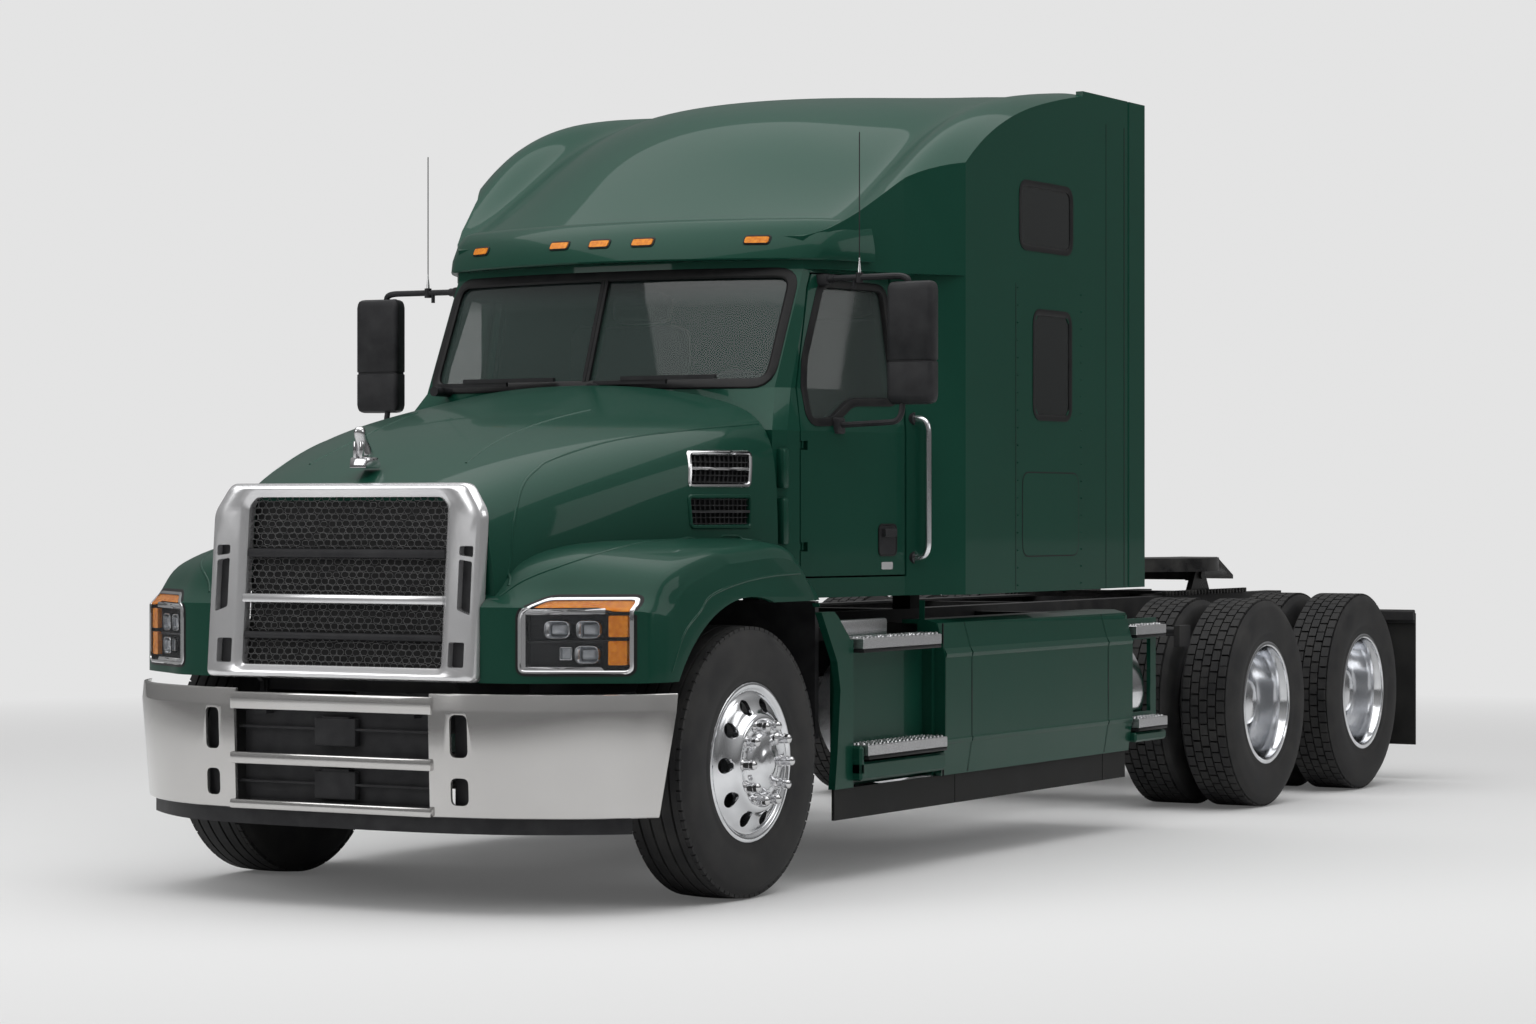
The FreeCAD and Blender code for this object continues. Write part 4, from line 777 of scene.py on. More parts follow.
# Creases pressed into the hood: low ridges along lines that are drawn onto the skin
creaseLook = {"radius": 7.0, "sunk": 4.2, "lines": {
    "shoulder": ((668, -886, 1175), (651, -847, 1267), (640, -818, 1375), (616, -742, 1497),
                 (600, -673, 1556), (596, -595, 1596),
                 (600, -514, 1630), (654, -292, 1688), (697, -144, 1716), (775, 117, 1747),
                 (828, 402, 1771), (850, 585, 1786)),
    "fender": ((655, -922, 1140), (703, -874, 1186), (813, -774, 1246), (880, -613, 1291),
               (907, -383, 1326), (889, -5, 1342),
               (918, 287, 1348), (959, 345, 1332)),
    "arch": ((1160, -574, 867), (1160, -490, 1000), (1160, -378, 1077), (1160, -300, 1133),
             (1160, -90, 1177), (1160, 133, 1199),
             (1160, 362, 1207)),
    "centre": ((355, -700, 1619), (337, -518, 1688), (340, -322, 1747), (371, -95, 1800), (404, 65, 1830))}}


def onSkin(point):
    place, normal = skinTree.find_nearest(spot(*point))[:2]
    sunk = place - normal * creaseLook["sunk"] / 1000
    return sunk.x * 1000, sunk.y * 1000 - middle, sunk.z * 1000


creases = []
for line in creaseLook["lines"].values():
    creases.append(tube("crease", [onSkin(point) for point in curveThrough(line, 6)], creaseLook["radius"]))
    creases.append(mirrored(creases[-1], "crease_right"))
dressed(together("hood_creases", creases), "hood", "paint")

# Roof: a crowned cap over the cab's outline
roofLook = {"long": 48, "cross": 80, "wall": 55, "foot": 1.9, "arc": 12}
crownStations = (700, 1080, 1430, 1700, 2020, 2400, 2900)
crownColumns = (0, 450, 780, 900, 1040, 1200, 1300)
crownHeights = (
    (2420, 2420, 2420, 2420, 2420, 2410, 2400), (2700, 2680, 2600, 2560, 2590, 2440, 2380),
    (3040, 2985, 2810, 2730, 2870, 2660, 2520), (3180, 3140, 2975, 2890, 3060, 2930, 2780),
    (3235, 3212, 3120, 3060, 3195, 3110, 2980), (3280, 3267, 3222, 3190, 3262, 3215, 3120),
    (3300, 3298, 3292, 3286, 3292, 3282, 3240))
sleeperWindows = {"low": (2324, 2695, 1840, 2297), "high": (2190, 2706, 2560, 2840)}
roofPlan = ((0, 824), (832, 970), (900, 1060), (960, 1180), (1050, 1430), (1200, 1680), (1200, 2820))
roomPlan = ((0, 824), (832, 970), (850, 1010), (960, 1447), (1200, 1680), (1200, 2820))


def crownBlock(name, drop=0):
    rows = [wholeLine([spot(x, y, z - drop) for x, z in zip(crownColumns, heights)])
            for y, heights in zip(crownStations, crownHeights)]
    loops = []
    for top in netLoops(rows, roofLook["long"], roofLook["cross"]):
        loops.append(top + [Vector((end.x, end.y, roofLook["foot"])) for end in (top[-1], top[0])])
    return lofted(name, loops)


def planLine(half, inset=0):
    nose, corner = half[0][1], Vector(half[1])
    radius = bowRadius(corner.x, corner.y - nose)
    arc = [corner.x * k / roofLook["arc"] for k in range(roofLook["arc"])]
    side = [[x - inset, y] for x, y in half[1:]]
    side[0][1] += inset
    side[-1][1] -= inset
    return wholeLine(vectors([(x, bowAt(x, nose + inset, radius)) for x in arc] + side))


roof = carved(crownBlock("roof_crown"), [plate("roof_plan", "XY", planLine(roofPlan), 2410, 3400)],
              "INTERSECT")
roomLimit = plate("roof_room_plan", "XY", planLine(roomPlan, roofLook["wall"]), 2300, 3400)
holes = [carved(crownBlock("roof_room", roofLook["wall"]), [roomLimit], "INTERSECT")]
for sign in (1, -1):
    line = rounded(fourCorners(*sleeperWindows["high"]), 62)
    holes.append(plate("window_hole", "YZ", line, sign * 1100, sign * 1260))
roof = cleaned(carved(roof, holes), 30)
dressed(roof, "chassis", "paint", ["roof"]).name = "roof_cap"
print("roof shaped", len(roof.data.polygons))

# Visor with its marker lamps
visorLook = {"levels": ((2446, 735, (920, 1000), (1010, 1250)), (2452, 732, (922, 997), (1010, 1250)),
                        (2500, 750, (925, 1012), (1008, 1250)), (2560, 792, (915, 1035), (995, 1255)),
                        (2604, 836, (900, 1062), (982, 1262)), (2618, 862, (885, 1082), (970, 1266)),
                        (2622, 900, (860, 1110), (950, 1270))),
             "lamps": (-665, -200, 0, 200, 665), "lampHigh": 2527, "lampSize": (92, 30)}


def visorLoop(z, nose, corner, end):
    radius = bowRadius(corner[0], corner[1] - nose)
    half = vectors([(x, bowAt(x, nose, radius)) for x in [corner[0] * 0.9 * k / 16 for k in range(17)]])
    half += bend(half[-1], Vector(corner), Vector(end), [k / 8 for k in range(1, 9)])
    return [spot(point.x, point.y, z) for point in wholeLine(half)]


visor = lofted("visor_shell", [visorLoop(*level) for level in visorLook["levels"]])
onVisor = fromFront(treeOf(visor))
dressed(visor, "chassis", "paint", ["visor"])
lampParts = []
for x in visorLook["lamps"]:
    line = oblong(x, visorLook["lampHigh"], *visorLook["lampSize"], 10)
    bezel = rim("marker_bezel", line, ((5, -2), (5, 4), (0, 6), (-2, 4), (-2, -2)), onVisor)
    lampParts += [inFinish(bezel, "seal"),
                  inFinish(cover("marker_lens", moved(line, -2), onVisor, 9, -2, 3), "amber")]
for x in (-255, 255):
    holder = block("tail_holder", x - 78, x + 78, 7012, 7040, 782, 888, 6)
    red = block("tail_red", x - 68, x + 68, 7038, 7049, 792, 878, 4)
    lampParts += [inFinish(holder, "plastic"), inFinish(red, "red")]
dressed(together("marker_and_tail_lamps", lampParts), "chassis", stands=["lamps"])
print("visor and lamps done")

# Glass seals and door trim
cabLevels = ((1100, 640, (895, 612), (918, 690), 1040), (1760, 640, (895, 612), (918, 690), 1040),
             (1930, 650, (832, 742), (872, 800), 1030), (2410, 824, (832, 970), (850, 1010), 960))
doorGlass = ((850, 1800), (990, 1803), (1130, 1885), (1400, 1890), (1405, 2345), (1055, 2350), (900, 2040))
sealLook = {"screen": ((20, -12), (20, 3), (14, 7), (-12, 6), (-20, 0), (-20, -14)),
            "divider": ((3, -10), (3, 3), (-4, 5), (-12, 4), (-12, -10)),
            "sleeper": ((10, -4), (10, 2.5), (-4, 3.5), (-16, -1), (-16, -12)),
            "door": ((22, -8), (22, 3), (16, 6), (-8, 5), (-12, -2), (-12, -14)),
            "handle": ((5, -2), (5, 4), (0, 5), (-5, 2), (-5, -2)),
            "lever": ((1338, 1372, 3), (1338, 1372, 16), (1344, 1366, 20))}


# The cab's outline at a height: nose, corner of the windshield, pillar, and half the width behind the door
def cabAt(z):
    for low, high in zip(cabLevels, cabLevels[1:]):
        if z <= high[0]:
            break
    share = min(1, (z - low[0]) / (high[0] - low[0]))
    nose, wide = (low[i] + (high[i] - low[i]) * share for i in (1, 4))
    corner, pillar = (Vector(low[i]).lerp(Vector(high[i]), share) for i in (2, 3))
    return nose, corner, pillar, wide


def onScreen(x, z, lift=0.0):
    nose, corner = cabAt(z)[:2]
    radius = bowRadius(corner.x, max(corner.y - nose, 20))
    y = bowAt(min(abs(x), corner.x), nose, radius) + max(0, abs(x) - corner.x) * 1.4
    return spot(x, y - lift, z)


def onDoor(sign):
    def place(y, z, lift=0.0):
        corner, pillar, wide = cabAt(z)[1:]
        line = [corner, pillar, Vector((wide, 1447)), Vector((1200, 1680)), Vector((1200, 2900))]
        for a, b in zip(line, line[1:]):
            if y <= b.y or b is line[-1]:
                x = a.x + (b.x - a.x) * max(0, (y - a.y) / (b.y - a.y))
                break
        return spot(sign * (x + lift), y, z)
    return place


def onSleeper(sign):
    return lambda y, z, lift=0.0: spot(sign * (1200 + lift), y, z)


screenLine = filled(rounded(fourCorners(-806, 806, 1948, 2396), 70), 40)
divider = filled(vectors(fourCorners(-13, 13, 1950, 2394)), 40)
trims = [inFinish(rim("screen_seal", screenLine, sealLook["screen"], onScreen), "seal"),
         inFinish(rim("screen_divider", divider, sealLook["divider"], onScreen), "seal")]
for sign in (1, -1):
    for corners in sleeperWindows.values():
        line = filled(rounded(fourCorners(*corners), 62), 40)
        trims.append(inFinish(rim("sleeper_seal", line, sealLook["sleeper"], onSleeper(sign)), "seal"))
        trims.append(inFinish(cover("sleeper_pane", moved(line, -8), onSleeper(sign), -4, -12, 3), "tinted"))
dressed(together("glass_seals", trims), "chassis")
for side, sign in sides:
    place = onDoor(sign)
    handle = filled(rounded(fourCorners(1275, 1387, 1265, 1387), 22), 20)
    lever = lofted("handle_lever", [[place(y, z, lift) for y, z in fourCorners(1292, 1368, z0, z1)]
                                    for z0, z1, lift in sealLook["lever"]])
    parts = [inFinish(rim("door_seal", filled(rounded(doorGlass, 40), 30), sealLook["door"], place), "seal"),
             inFinish(cover("handle_cup", handle, place, 2.5, -4, 3), "plastic"),
             inFinish(rim("handle_lip", handle, sealLook["handle"], place), "seal"),
             inFinish(lever, "plastic"),
             inFinish(cover("blank_plate", oblong(1328, 1222, 74, 30, 8), place, 2, -2, 2), "satin")]
    dressed(together("door_trim_" + side, parts), "door_" + side)
print("seals and door trim done")

# Thin panel lines and rivets on the sleeper
sleeperLook = {"hatch": (2214, 2775, 1251, 1608), "seam": 2150, "rivetRows": (2168, 2800), "rivetPitch": 74.0,
               "rivetRadius": 4.0}
lines = []
for sign in (1, -1):
    line = filled(rounded(fourCorners(*sleeperLook["hatch"]), 60), 60)
    gap = rim("hatch_line", line, ((2.5, -1), (2.5, 0.8), (-2.5, 0.8), (-2.5, -1)), onSleeper(sign))
    panel = cover("hatch_panel", moved(line, -3), onSleeper(sign), 1.2, -1, 2)
    seam = block("seam", sign * 1199, sign * 1200.8, sleeperLook["seam"] - 2, sleeperLook["seam"] + 2, 1110,
                 2408)
    lines += [inFinish(gap, "seal"), inFinish(panel, "paint"), inFinish(seam, "seal")]
dressed(together("sleeper_lines", lines), "chassis")


# A node tree with named inputs: what it places is made real and given its finish
def shapeTree(name, inputs, placed):
    group = bpy.data.node_groups.new(name, "GeometryNodeTree")
    kinds = {int: "NodeSocketInt", float: "NodeSocketFloat", type(None): "NodeSocketGeometry"}
    for label, value in inputs.items():
        socket = group.interface.new_socket(label, in_out="INPUT", socket_type=kinds[type(value)])
        if value is not None:
            socket.default_value = value
    group.interface.new_socket("Finish", in_out="INPUT", socket_type="NodeSocketMaterial")
    group.interface.new_socket("Shape", in_out="OUTPUT", socket_type="NodeSocketGeometry")
    tree = Tree(group)
    given = tree.add("NodeGroupInput")
    real = tree.add("GeometryNodeRealizeInstances", {}, {0: placed(tree, given)})
    done = tree.add("GeometryNodeSetMaterial", {}, {"Geometry": real[0], "Material": given["Finish"]})
    tree.add("NodeGroupOutput", {}, {0: done[0]})
    return group


# The plain mesh that a node tree makes, at the points where it takes them
def treeShape(name, tree, finish, points=(), **values):
    obj = fromFaces(name, points, [])
    tool = obj.modifiers.new("shape", "NODES")
    tool.node_group = tree
    values["Finish"] = finishes[finish]
    for item in tree.interface.items_tree:
        if item.item_type == "SOCKET" and item.in_out == "INPUT" and item.name.replace(" ", "") in values:
            tool[item.identifier] = values[item.name.replace(" ", "")]
    return inFinish(baked(obj), finish)


# Small round heads at points
def headTree(name, radius, height, count, tilt):
    def placed(tree, given):
        head = tree.add("GeometryNodeMeshCone", {"fill_type": "NGON"}, {
            "Vertices": count, "Radius Top": given["Radius"] * 0.6, "Radius Bottom": given["Radius"],
            "Depth": given["Height"]})
        return tree.add("GeometryNodeInstanceOnPoints", {}, {
            "Points": given["Points"], "Instance": head[0],
            "Rotation": tree.trio(tree.stray(0.0, 0.6, given["Seed"]), tilt)})[0]
    return shapeTree(name, {"Points": None, "Radius": radius, "Height": height, "Seed": 3}, placed)


rivetTree = headTree("rivet_heads", sleeperLook["rivetRadius"] / 1000, 0.003, 10, math.pi / 2)
rivetPoints = []
for sign in (1, -1):
    for y in sleeperLook["rivetRows"]:
        z = 1130
        while z < 2400:
            rivetPoints.append(spot(sign * 1201, y, z))
            z += sleeperLook["rivetPitch"]
dressed(cleaned(treeShape("sleeper_rivets", rivetTree, "paint", rivetPoints)), "chassis")
print("sleeper lines done")

# Grille: surround, bars, and a mesh of small rounded cells
grilleLook = {"outer": ((-604, 830), (604, 830), (604, 1440), (532, 1545), (-532, 1545), (-604, 1440)),
              "inner": ((-445, 880), (445, 880), (445, 1460), (415, 1492), (-415, 1492), (-445, 1460)),
              "section": (("outer", 0, -46), ("outer", 0, -16), ("outer", -7, -4), ("outer", -18, 0),
                          ("inner", 30, 0),
                          ("inner", 24, -3), ("inner", 14, -6), ("inner", 2, -16), ("inner", 0, -46)),
              "cell": (34, 23.4), "columns": 27, "rows": 27, "wire": 1.4, "cellCorner": 0.007,
              "pockets": (((515, 1285), (575, 1278), (575, 1318), (515, 1318)),
                          ((515, 1090), (572, 1070), (572, 1262), (515, 1270)),
                          ((486, 884), (554, 884), (554, 974), (486, 974)))}


def onGrille(x, z, lift=0.0):
    return spot(x, surroundAt(z) - 50 - lift, z)


shapes = {key: rounded(grilleLook[key], radius) for key, radius in (("outer", 30), ("inner", 16))}
loops = [[onGrille(point.x, point.y, lift) for point in moved(shapes[key], out)]
         for key, out, lift in grilleLook["section"]]
surround = lofted("grille_frame", loops, ring=True)
pocketTools, pocketBacks = [], []
for sign in (1, -1):
    for outline in grilleLook["pockets"]:
        line = rounded([(sign * x, z) for x, z in outline], 9)
        pocketTools.append(plate("pocket", "XZ", line, -1100, -890))
        pocketBacks.append(inFinish(cover("pocket_back", filled(moved(line, 3), 20), onGrille, -30, -40, 2),
                                    "plastic"))
surround = inFinish(cleaned(carved(surround, pocketTools)), "satin")
bar = plate("grille_cross_bar", "YZ", ((-988, 1106), (-960, 1106), (-958, 1139), (-986, 1139)), -452, 452, 7)
surround = together("grille_surround_frame", [surround, inFinish(bar, "satin"), *pocketBacks])
dressed(surround, "hood", stands=["grille_surround"])


def placedCells(tree, given):
    grid = tree.add("GeometryNodeMeshGrid", {}, {
        "Size X": given["Cell Width"] * (given["Columns"] - 1),
        "Size Y": given["Cell Height"] * (given["Rows"] - 1),
        "Vertices X": given["Columns"], "Vertices Y": given["Rows"]})
    row = tree.add("GeometryNodeInputIndex")[0] % given["Rows"]
    shift = (row % 2.0 - 0.5) * given["Cell Width"] * 0.5
    stray = tree.add("FunctionNodeRandomValue", {"data_type": "FLOAT_VECTOR"}, {
        0: (-0.004, -0.0022, 0.0), 1: (0.004, 0.0022, 0.0), "Seed": given["Seed"]})[0]
    offset = tree.add("ShaderNodeVectorMath", {"operation": "ADD"}, {0: tree.trio(shift), 1: stray})[0]
    spots = tree.add("GeometryNodeSetPosition", {}, {"Geometry": grid[0], "Offset": offset})
    frameCurve = tree.add("GeometryNodeCurvePrimitiveQuadrilateral", {}, {
        "Width": given["Cell Width"] * 0.94, "Height": given["Cell Height"] * 0.94})
    fillet = tree.add("GeometryNodeFilletCurve", {}, {0: frameCurve[0]})
    corner = next(socket for socket in fillet.node.inputs if socket.name == "Radius")
    corner.default_value = grilleLook["cellCorner"]
    for socket in fillet.node.inputs:
        if socket.name == "Count":
            socket.default_value = 1
    profile = tree.add("GeometryNodeCurvePrimitiveCircle", {}, {"Resolution": 4, "Radius": given["Wire"]})
    ring = tree.add("GeometryNodeCurveToMesh", {}, {0: fillet[0], 1: profile[0]})
    scale = tree.stray(0.9, 1.08, given["Seed"] + 1.0)
    return tree.add("GeometryNodeInstanceOnPoints", {},
                    {"Points": spots[0], "Instance": ring[0], "Scale": scale})[0]


cellTree = shapeTree("mesh_cells", {
    "Cell Width": grilleLook["cell"][0] / 1000, "Cell Height": grilleLook["cell"][1] / 1000,
    "Columns": grilleLook["columns"], "Rows": grilleLook["rows"], "Wire": grilleLook["wire"] / 1000,
    "Seed": 7}, placedCells)
cells = treeShape("grille_cells", cellTree, "wire")
for vertex in cells.data.vertices:
    x, z, out = vertex.co.x * 1000, vertex.co.y * 1000 + 1186, vertex.co.z * 1000
    vertex.co = onGrille(max(-447, min(447, x)), max(876, min(1494, z)), out - 30)
cells.data.shade_smooth()
meshParts = [cells]
for low, high in ((974, 999), (1272, 1305)):
    y = surroundAt(low)
    outline = ((y - 40, low), (y - 14, low), (y - 12, high), (y - 38, high))
    meshParts.append(inFinish(plate("mesh_bar", "YZ", outline, -446, 446, 8), "plastic"))
corners = fourCorners(-450, 450, 872, 1498)
backing = lofted("mesh_backing", [[onGrille(x, z, lift) for x, z in corners] for lift in (-58, -62)])
meshParts.append(inFinish(backing, "seal"))
dressed(together("grille_mesh_cells", meshParts), "hood", stands=["grille_mesh"])
print("grille done")

# Bumper: two curved ends with a folded top edge, joined by three bars
bumperLook = {"top": ((435, -1058), (700, -1010), (960, -894), (1130, -742), (1214, -610)),
              "low": ((435, -1042), (690, -990), (920, -878), (1080, -746), (1156, -654)),
              "levels": ((350, 5), (353, 1), (360, 0), (560, 0), (728, 0), (736, 2), (784, 10), (790, 12),
                         (792, 15)),
              "wall": 11, "bars": ((350, 384), (515, 558), (716, 780)),
              "slots": ((394, 492), (565, 718))}


def bumperEnd(name, sign):
    levels = bumperLook["levels"]
    foot, head = levels[0][0], levels[-1][0]
    lines = []
    for z, step in levels:
        share = (z - foot) / (head - foot)
        points = [Vector(low).lerp(Vector(top), share)
                  for low, top in zip(bumperLook["low"], bumperLook["top"])]
        lines.append(curveThrough(points, 9))
    rings = []
    for i in range(len(lines[0])):
        outer, inner = [], []
        for (z, step), line in zip(levels, lines):
            along = (line[min(i + 1, len(line) - 1)] - line[max(i - 1, 0)]).normalized()
            out = Vector((along.y, -along.x))
            for points, depth in ((outer, step), (inner, step + bumperLook["wall"])):
                x, y = line[i] - out * depth
                points.append(spot(sign * x, y, z))
        rings.append(outer + inner[::-1])
    return lofted(name, rings)


ends = []
for sign in (1, -1):
    slots = []
    for low, high in bumperLook["slots"]:
        line = [(sign * x, z) for x, z in rounded(fourCorners(517, 586, low, high), 24)]
        slots.append(plate("slot", "XZ", line, -1100, -900))
    ends.append(cleaned(carved(bumperEnd("bumper_end", sign), slots)))
bars = [block("bumper_bar", -450, 450, -1062, -1040, low, high, 6) for low, high in bumperLook["bars"]]
dressed(together("bumper_shell", ends + bars), "chassis", "bumper", ["bumper"])
backs = [block("slot_back", *sided(sign, 505, 600), -985, -975, 385, 728) for sign in (1, -1)]
for z in (446, 646):
    backs.append(block("bumper_slat", -440, 440, -1020, -1000, z, z + 9, 2))
for low, high in ((396, 498), (588, 690)):
    backs.append(block("bumper_post", -92, 92, -1024, -992, low, high, 6))
dressed(together("bumper_inserts", backs), "chassis", "plastic")
print("bumper done")

# Headlamps: chrome frame, amber blocks and projectors behind a clear cover
headlampLook = {
    "frame": ((3, -20), (3, 3), (0, 6), (-6, 6), (-9, 3), (-9, -20)),
    "gap": ((12, -6), (12, 0.6), (2, 1.5), (2, -6)),
    "wall": ((-6, -4), (-9, -4), (-9, -66), (-6, -66)),
    "bars": ((((764, 1074), (1012, 1076), (1012, 1097), (786, 1094)), 5),
             (((760, 872), (1012, 872), (1000, 888), (762, 890)), 5),
             (((758, 874), (776, 886), (776, 1076), (760, 1080)), 4)),
    "strip": ((800, 1099), (1024, 1100), (1030, 1086), (1082, 1084), (1084, 1124), (836, 1128)),
    "amberBlocks": ((1048, 1033, 56, 76), (1046, 938, 54, 86)),
    "projectors": ((860, 1021), (952, 1021), (948, 932)),
    "rim": ((0, -60), (0, -20), (-2, -17), (-4, -18), (-5, -60)),
    "cup": ((0, -22), (-12, -44), (-12, -50), (2, -26)), "small": ((0, -60), (0, -22), (-3, -20), (-4, -60))}


def headlampParts():
    line = filled(rounded(lampLine, 24), 20)
    parts = []

    def keep(obj, finish):
        parts.append(inFinish(obj, finish))

    keep(rim("lamp_frame", line, headlampLook["frame"], onHoodFront), "chrome")
    keep(rim("lamp_gap", line, headlampLook["gap"], onHoodFront), "seal")
    keep(cover("lamp_back", moved(line, -8), onHoodFront, -62, -68, 5), "plastic")
    keep(rim("lamp_wall", line, headlampLook["wall"], onHoodFront), "plastic")
    for bar, radius in headlampLook["bars"]:
        keep(cover("lamp_bar", filled(rounded(bar, radius), 25), onHoodFront, 1, -24, 2), "chrome")
    keep(cover("lamp_amber_strip", filled(rounded(headlampLook["strip"], 6), 25), onHoodFront, -2, -20, 3),
         "amber")
    for u, v, wide, high in headlampLook["amberBlocks"]:
        keep(cover("lamp_amber_block", oblong(u, v, wide, high, 6, 20), onHoodFront, -3, -30, 3), "amber")
    for u, v in headlampLook["projectors"]:
        ring = oblong(u, v, 74, 66, 24, 9)
        keep(rim("projector_rim", ring, headlampLook["rim"], onHoodFront), "reflector")
        keep(rim("projector_cup", moved(ring, -4), headlampLook["cup"], onHoodFront), "reflector")
        centre = onHoodFront(u, v, -42)
        edge = [onHoodFront(point.x, point.y, -42) - centre for point in moved(ring, -15)]
        rings = []
        for k in range(5):
            turn = k / 5 * math.pi / 2
            tip = centre + Vector((0, -0.016 * math.sin(turn), 0))
            rings.append([tip + step * math.cos(turn) for step in edge])
        keep(lofted("projector_bulb", rings), "bulb")
    keep(rim("small_lamp_rim", oblong(885, 936, 36, 46, 5, 8), headlampLook["small"], onHoodFront),
         "reflector")
    keep(cover("small_lamp_face", oblong(885, 936, 28, 38, 4, 8), onHoodFront, -30, -36, 2), "bulb")
    shelf = filled(vectors(fourCorners(780, 1010, 974, 982)), 25)
    keep(cover("lamp_shelf", shelf, onHoodFront, -18, -60, 2), "plastic")
    keep(cover("lamp_cover", moved(line, -8), onHoodFront, 2, 0.5, 6), "lens")
    return parts


lampLeft = together("headlamp_left", headlampParts())
for lamp in (lampLeft, flipped(lampLeft, "headlamp_right")):
    dressed(lamp, "hood", stands=["headlamps"])

# Vents on the sides of the hood, and the ornament
ventLook = {"slats": 5, "posts": 13, "frame": ((9, -6), (9, 2), (5, 6), (-3, 6), (-7, 1), (-7, -10))}


def ventParts():
    parts = []

    def keep(obj, finish="plastic"):
        parts.append(inFinish(obj, finish))

    for tag, outline in ventLines.items():
        line = filled(rounded(outline, 16), 30)
        keep(rim("vent_frame", line, ventLook["frame"], onHoodSide), "chrome" if tag == "high" else "paint")
        keep(cover("vent_back", moved(line, -2), onHoodSide, -22, -26, 2))
        low, high = min(point.y for point in line), max(point.y for point in line)
        a, b, c, d = vectors(outline)
        for k in range(ventLook["slats"]):
            share = (k + 0.5) / ventLook["slats"]
            z = low + (high - low) * share
            slat = vectors(fourCorners(a.lerp(d, share).x + 5, b.lerp(c, share).x - 5, z - 2, z + 2))
            keep(cover("vent_slat", filled(slat, 40), onHoodSide, -6, -20, 1))
        for k in range(ventLook["posts"]):
            foot, head = (start.lerp(end, (k + 0.5) / ventLook["posts"]) for start, end in ((a, b), (d, c)))
            post = [foot + Vector((-2, 4)), foot + Vector((2, 4)), head + Vector((2, -4)),
                    head + Vector((-2, -4))]
            keep(cover("vent_post", filled(post, 60), onHoodSide, -10, -20, 1))
        z = (low + high) / 2
        band = vectors(fourCorners(a.lerp(d, 0.5).x - 2, b.lerp(c, 0.5).x + 2, z - 5, z + 5))
        keep(cover("vent_band", filled(band, 40), onHoodSide, 3, -8, 1),
             "chrome" if tag == "high" else "plastic")
    return parts


ventLeft = together("vents_left", ventParts())
for vent in (ventLeft, flipped(ventLeft, "vents_right")):
    dressed(vent, "hood", stands=["hood_vents"])

ornamentLook = {"foot": ((-884, 1600), (-790, 1600), (-790, 1622), (-806, 1640), (-876, 1640)),
                "body": ((1634, -868, -800, 26), (1646, -876, -796, 27), (1662, -878, -800, 25),
                         (1680, -880, -812, 22),
                         (1698, -884, -826, 20), (1716, -890, -838, 20), (1732, -896, -842, 21),
                         (1746, -892, -846, 17),
                         (1753, -882, -856, 8))}
rings = [[spot(half * math.cos(turn), (front + rear) / 2 + (rear - front) / 2 * math.sin(turn), z)
          for turn in turns(28)]
         for z, front, rear, half in ornamentLook["body"]]
figure = [cleaned(softened(lofted("hood_figure", rings)), 50),
          plate("figure_foot", "YZ", ornamentLook["foot"], -38, 38, 5),
          block("figure_leg", 6, 22, -884, -868, 1636, 1700, 6),
          block("figure_leg", -22, -6, -884, -868, 1636, 1700, 6)]
dressed(together("hood_figure", figure), "hood", "chrome", ["hood_ornament"])
print("lamps, vents and ornament done")

# Wheels: tyres with grooves and tread blocks, polished rims with hand holes and nut covers
wheelLook = {"grooves": (-74, -26, 26, 74), "grooveWidth": 9, "grooveDepth": 13, "count": 128,
             "side": ((112, 497), (118, 490), (122, 482), (128, 476), (134, 462), (139, 440), (142, 412),
                      (142, 392),
                      (139, 368), (134, 345), (130, 332), (131, 324), (128, 312), (126, 303), (122, 299)),
             "steerFace": ((125, 298), (127, 294), (127, 281), (124, 276), (119, 272), (116, 266),
                           (118, 259), (124, 251), (129, 242),
                           (133, 230), (138, 216), (145, 203), (154, 193), (164, 186), (172, 180),
                           (178, 172), (179, 164), (177, 158),
                           (172, 155), (170, 150), (170, 113), (174, 109), (183, 104), (188, 96), (191, 84),
                           (194, 70), (197, 55),
                           (201, 50), (204, 42), (206, 30), (207, 2), (200, 2), (196, 38.3), (-60, 38.3),
                           (-60, 110), (146, 112),
                           (150, 158), (118, 222), (106, 240), (60, 252), (-125, 262), (-125, 298)),
             "driveFace": ((1195, 298), (1197, 294), (1197, 281), (1193, 276), (1184, 275), (1172, 268),
                           (1150, 262), (1118, 259),
                           (1062, 257), (1044, 250), (1024, 244), (984, 241), (948, 239), (934, 234),
                           (928, 228), (921, 192),
                           (915, 166), (920, 159), (924, 156), (925, 148), (925, 128), (932, 121),
                           (1050, 117), (1084, 113),
                           (1099, 104), (1107, 88), (1113, 60), (1116, 2), (1110, 2), (1104, 55.3),
                           (970, 55.3), (670, 80),
                           (670, 215), (605, 262), (605, 298)),
             "holeRadius": 29, "holeRing": 217, "holes": 10, "nutRing": 0.143, "nutLength": 0.05,
             "driveX": (1070, 730),
             "driveY": (4961, 6283)}


def tyreProfile(edge, crown, grooves):
    bulge = lambda x: crown - 4 * (x / 108) ** 2
    tread = []
    if grooves:
        half, foot = wheelLook["grooveWidth"] / 2, crown - wheelLook["grooveDepth"]
        stops = [1 - edge, *(centre + way * half for centre in grooves for way in (-1, 1)), edge - 1]
        for start, end in zip(stops[::2], stops[1::2]):
            tread += [(x, bulge(x)) for x in (start, end)]
            if end < edge - 1:
                tread += [(end + 1.5, foot), (end + wheelLook["grooveWidth"] - 1.5, foot)]
    else:
        tread = [(x, crown) for x in (1 - edge, 0, edge - 1)]
    side = [(edge, crown - 12), *wheelLook["side"]]
    return [(-x, reach) for x, reach in side[::-1]] + tread + side


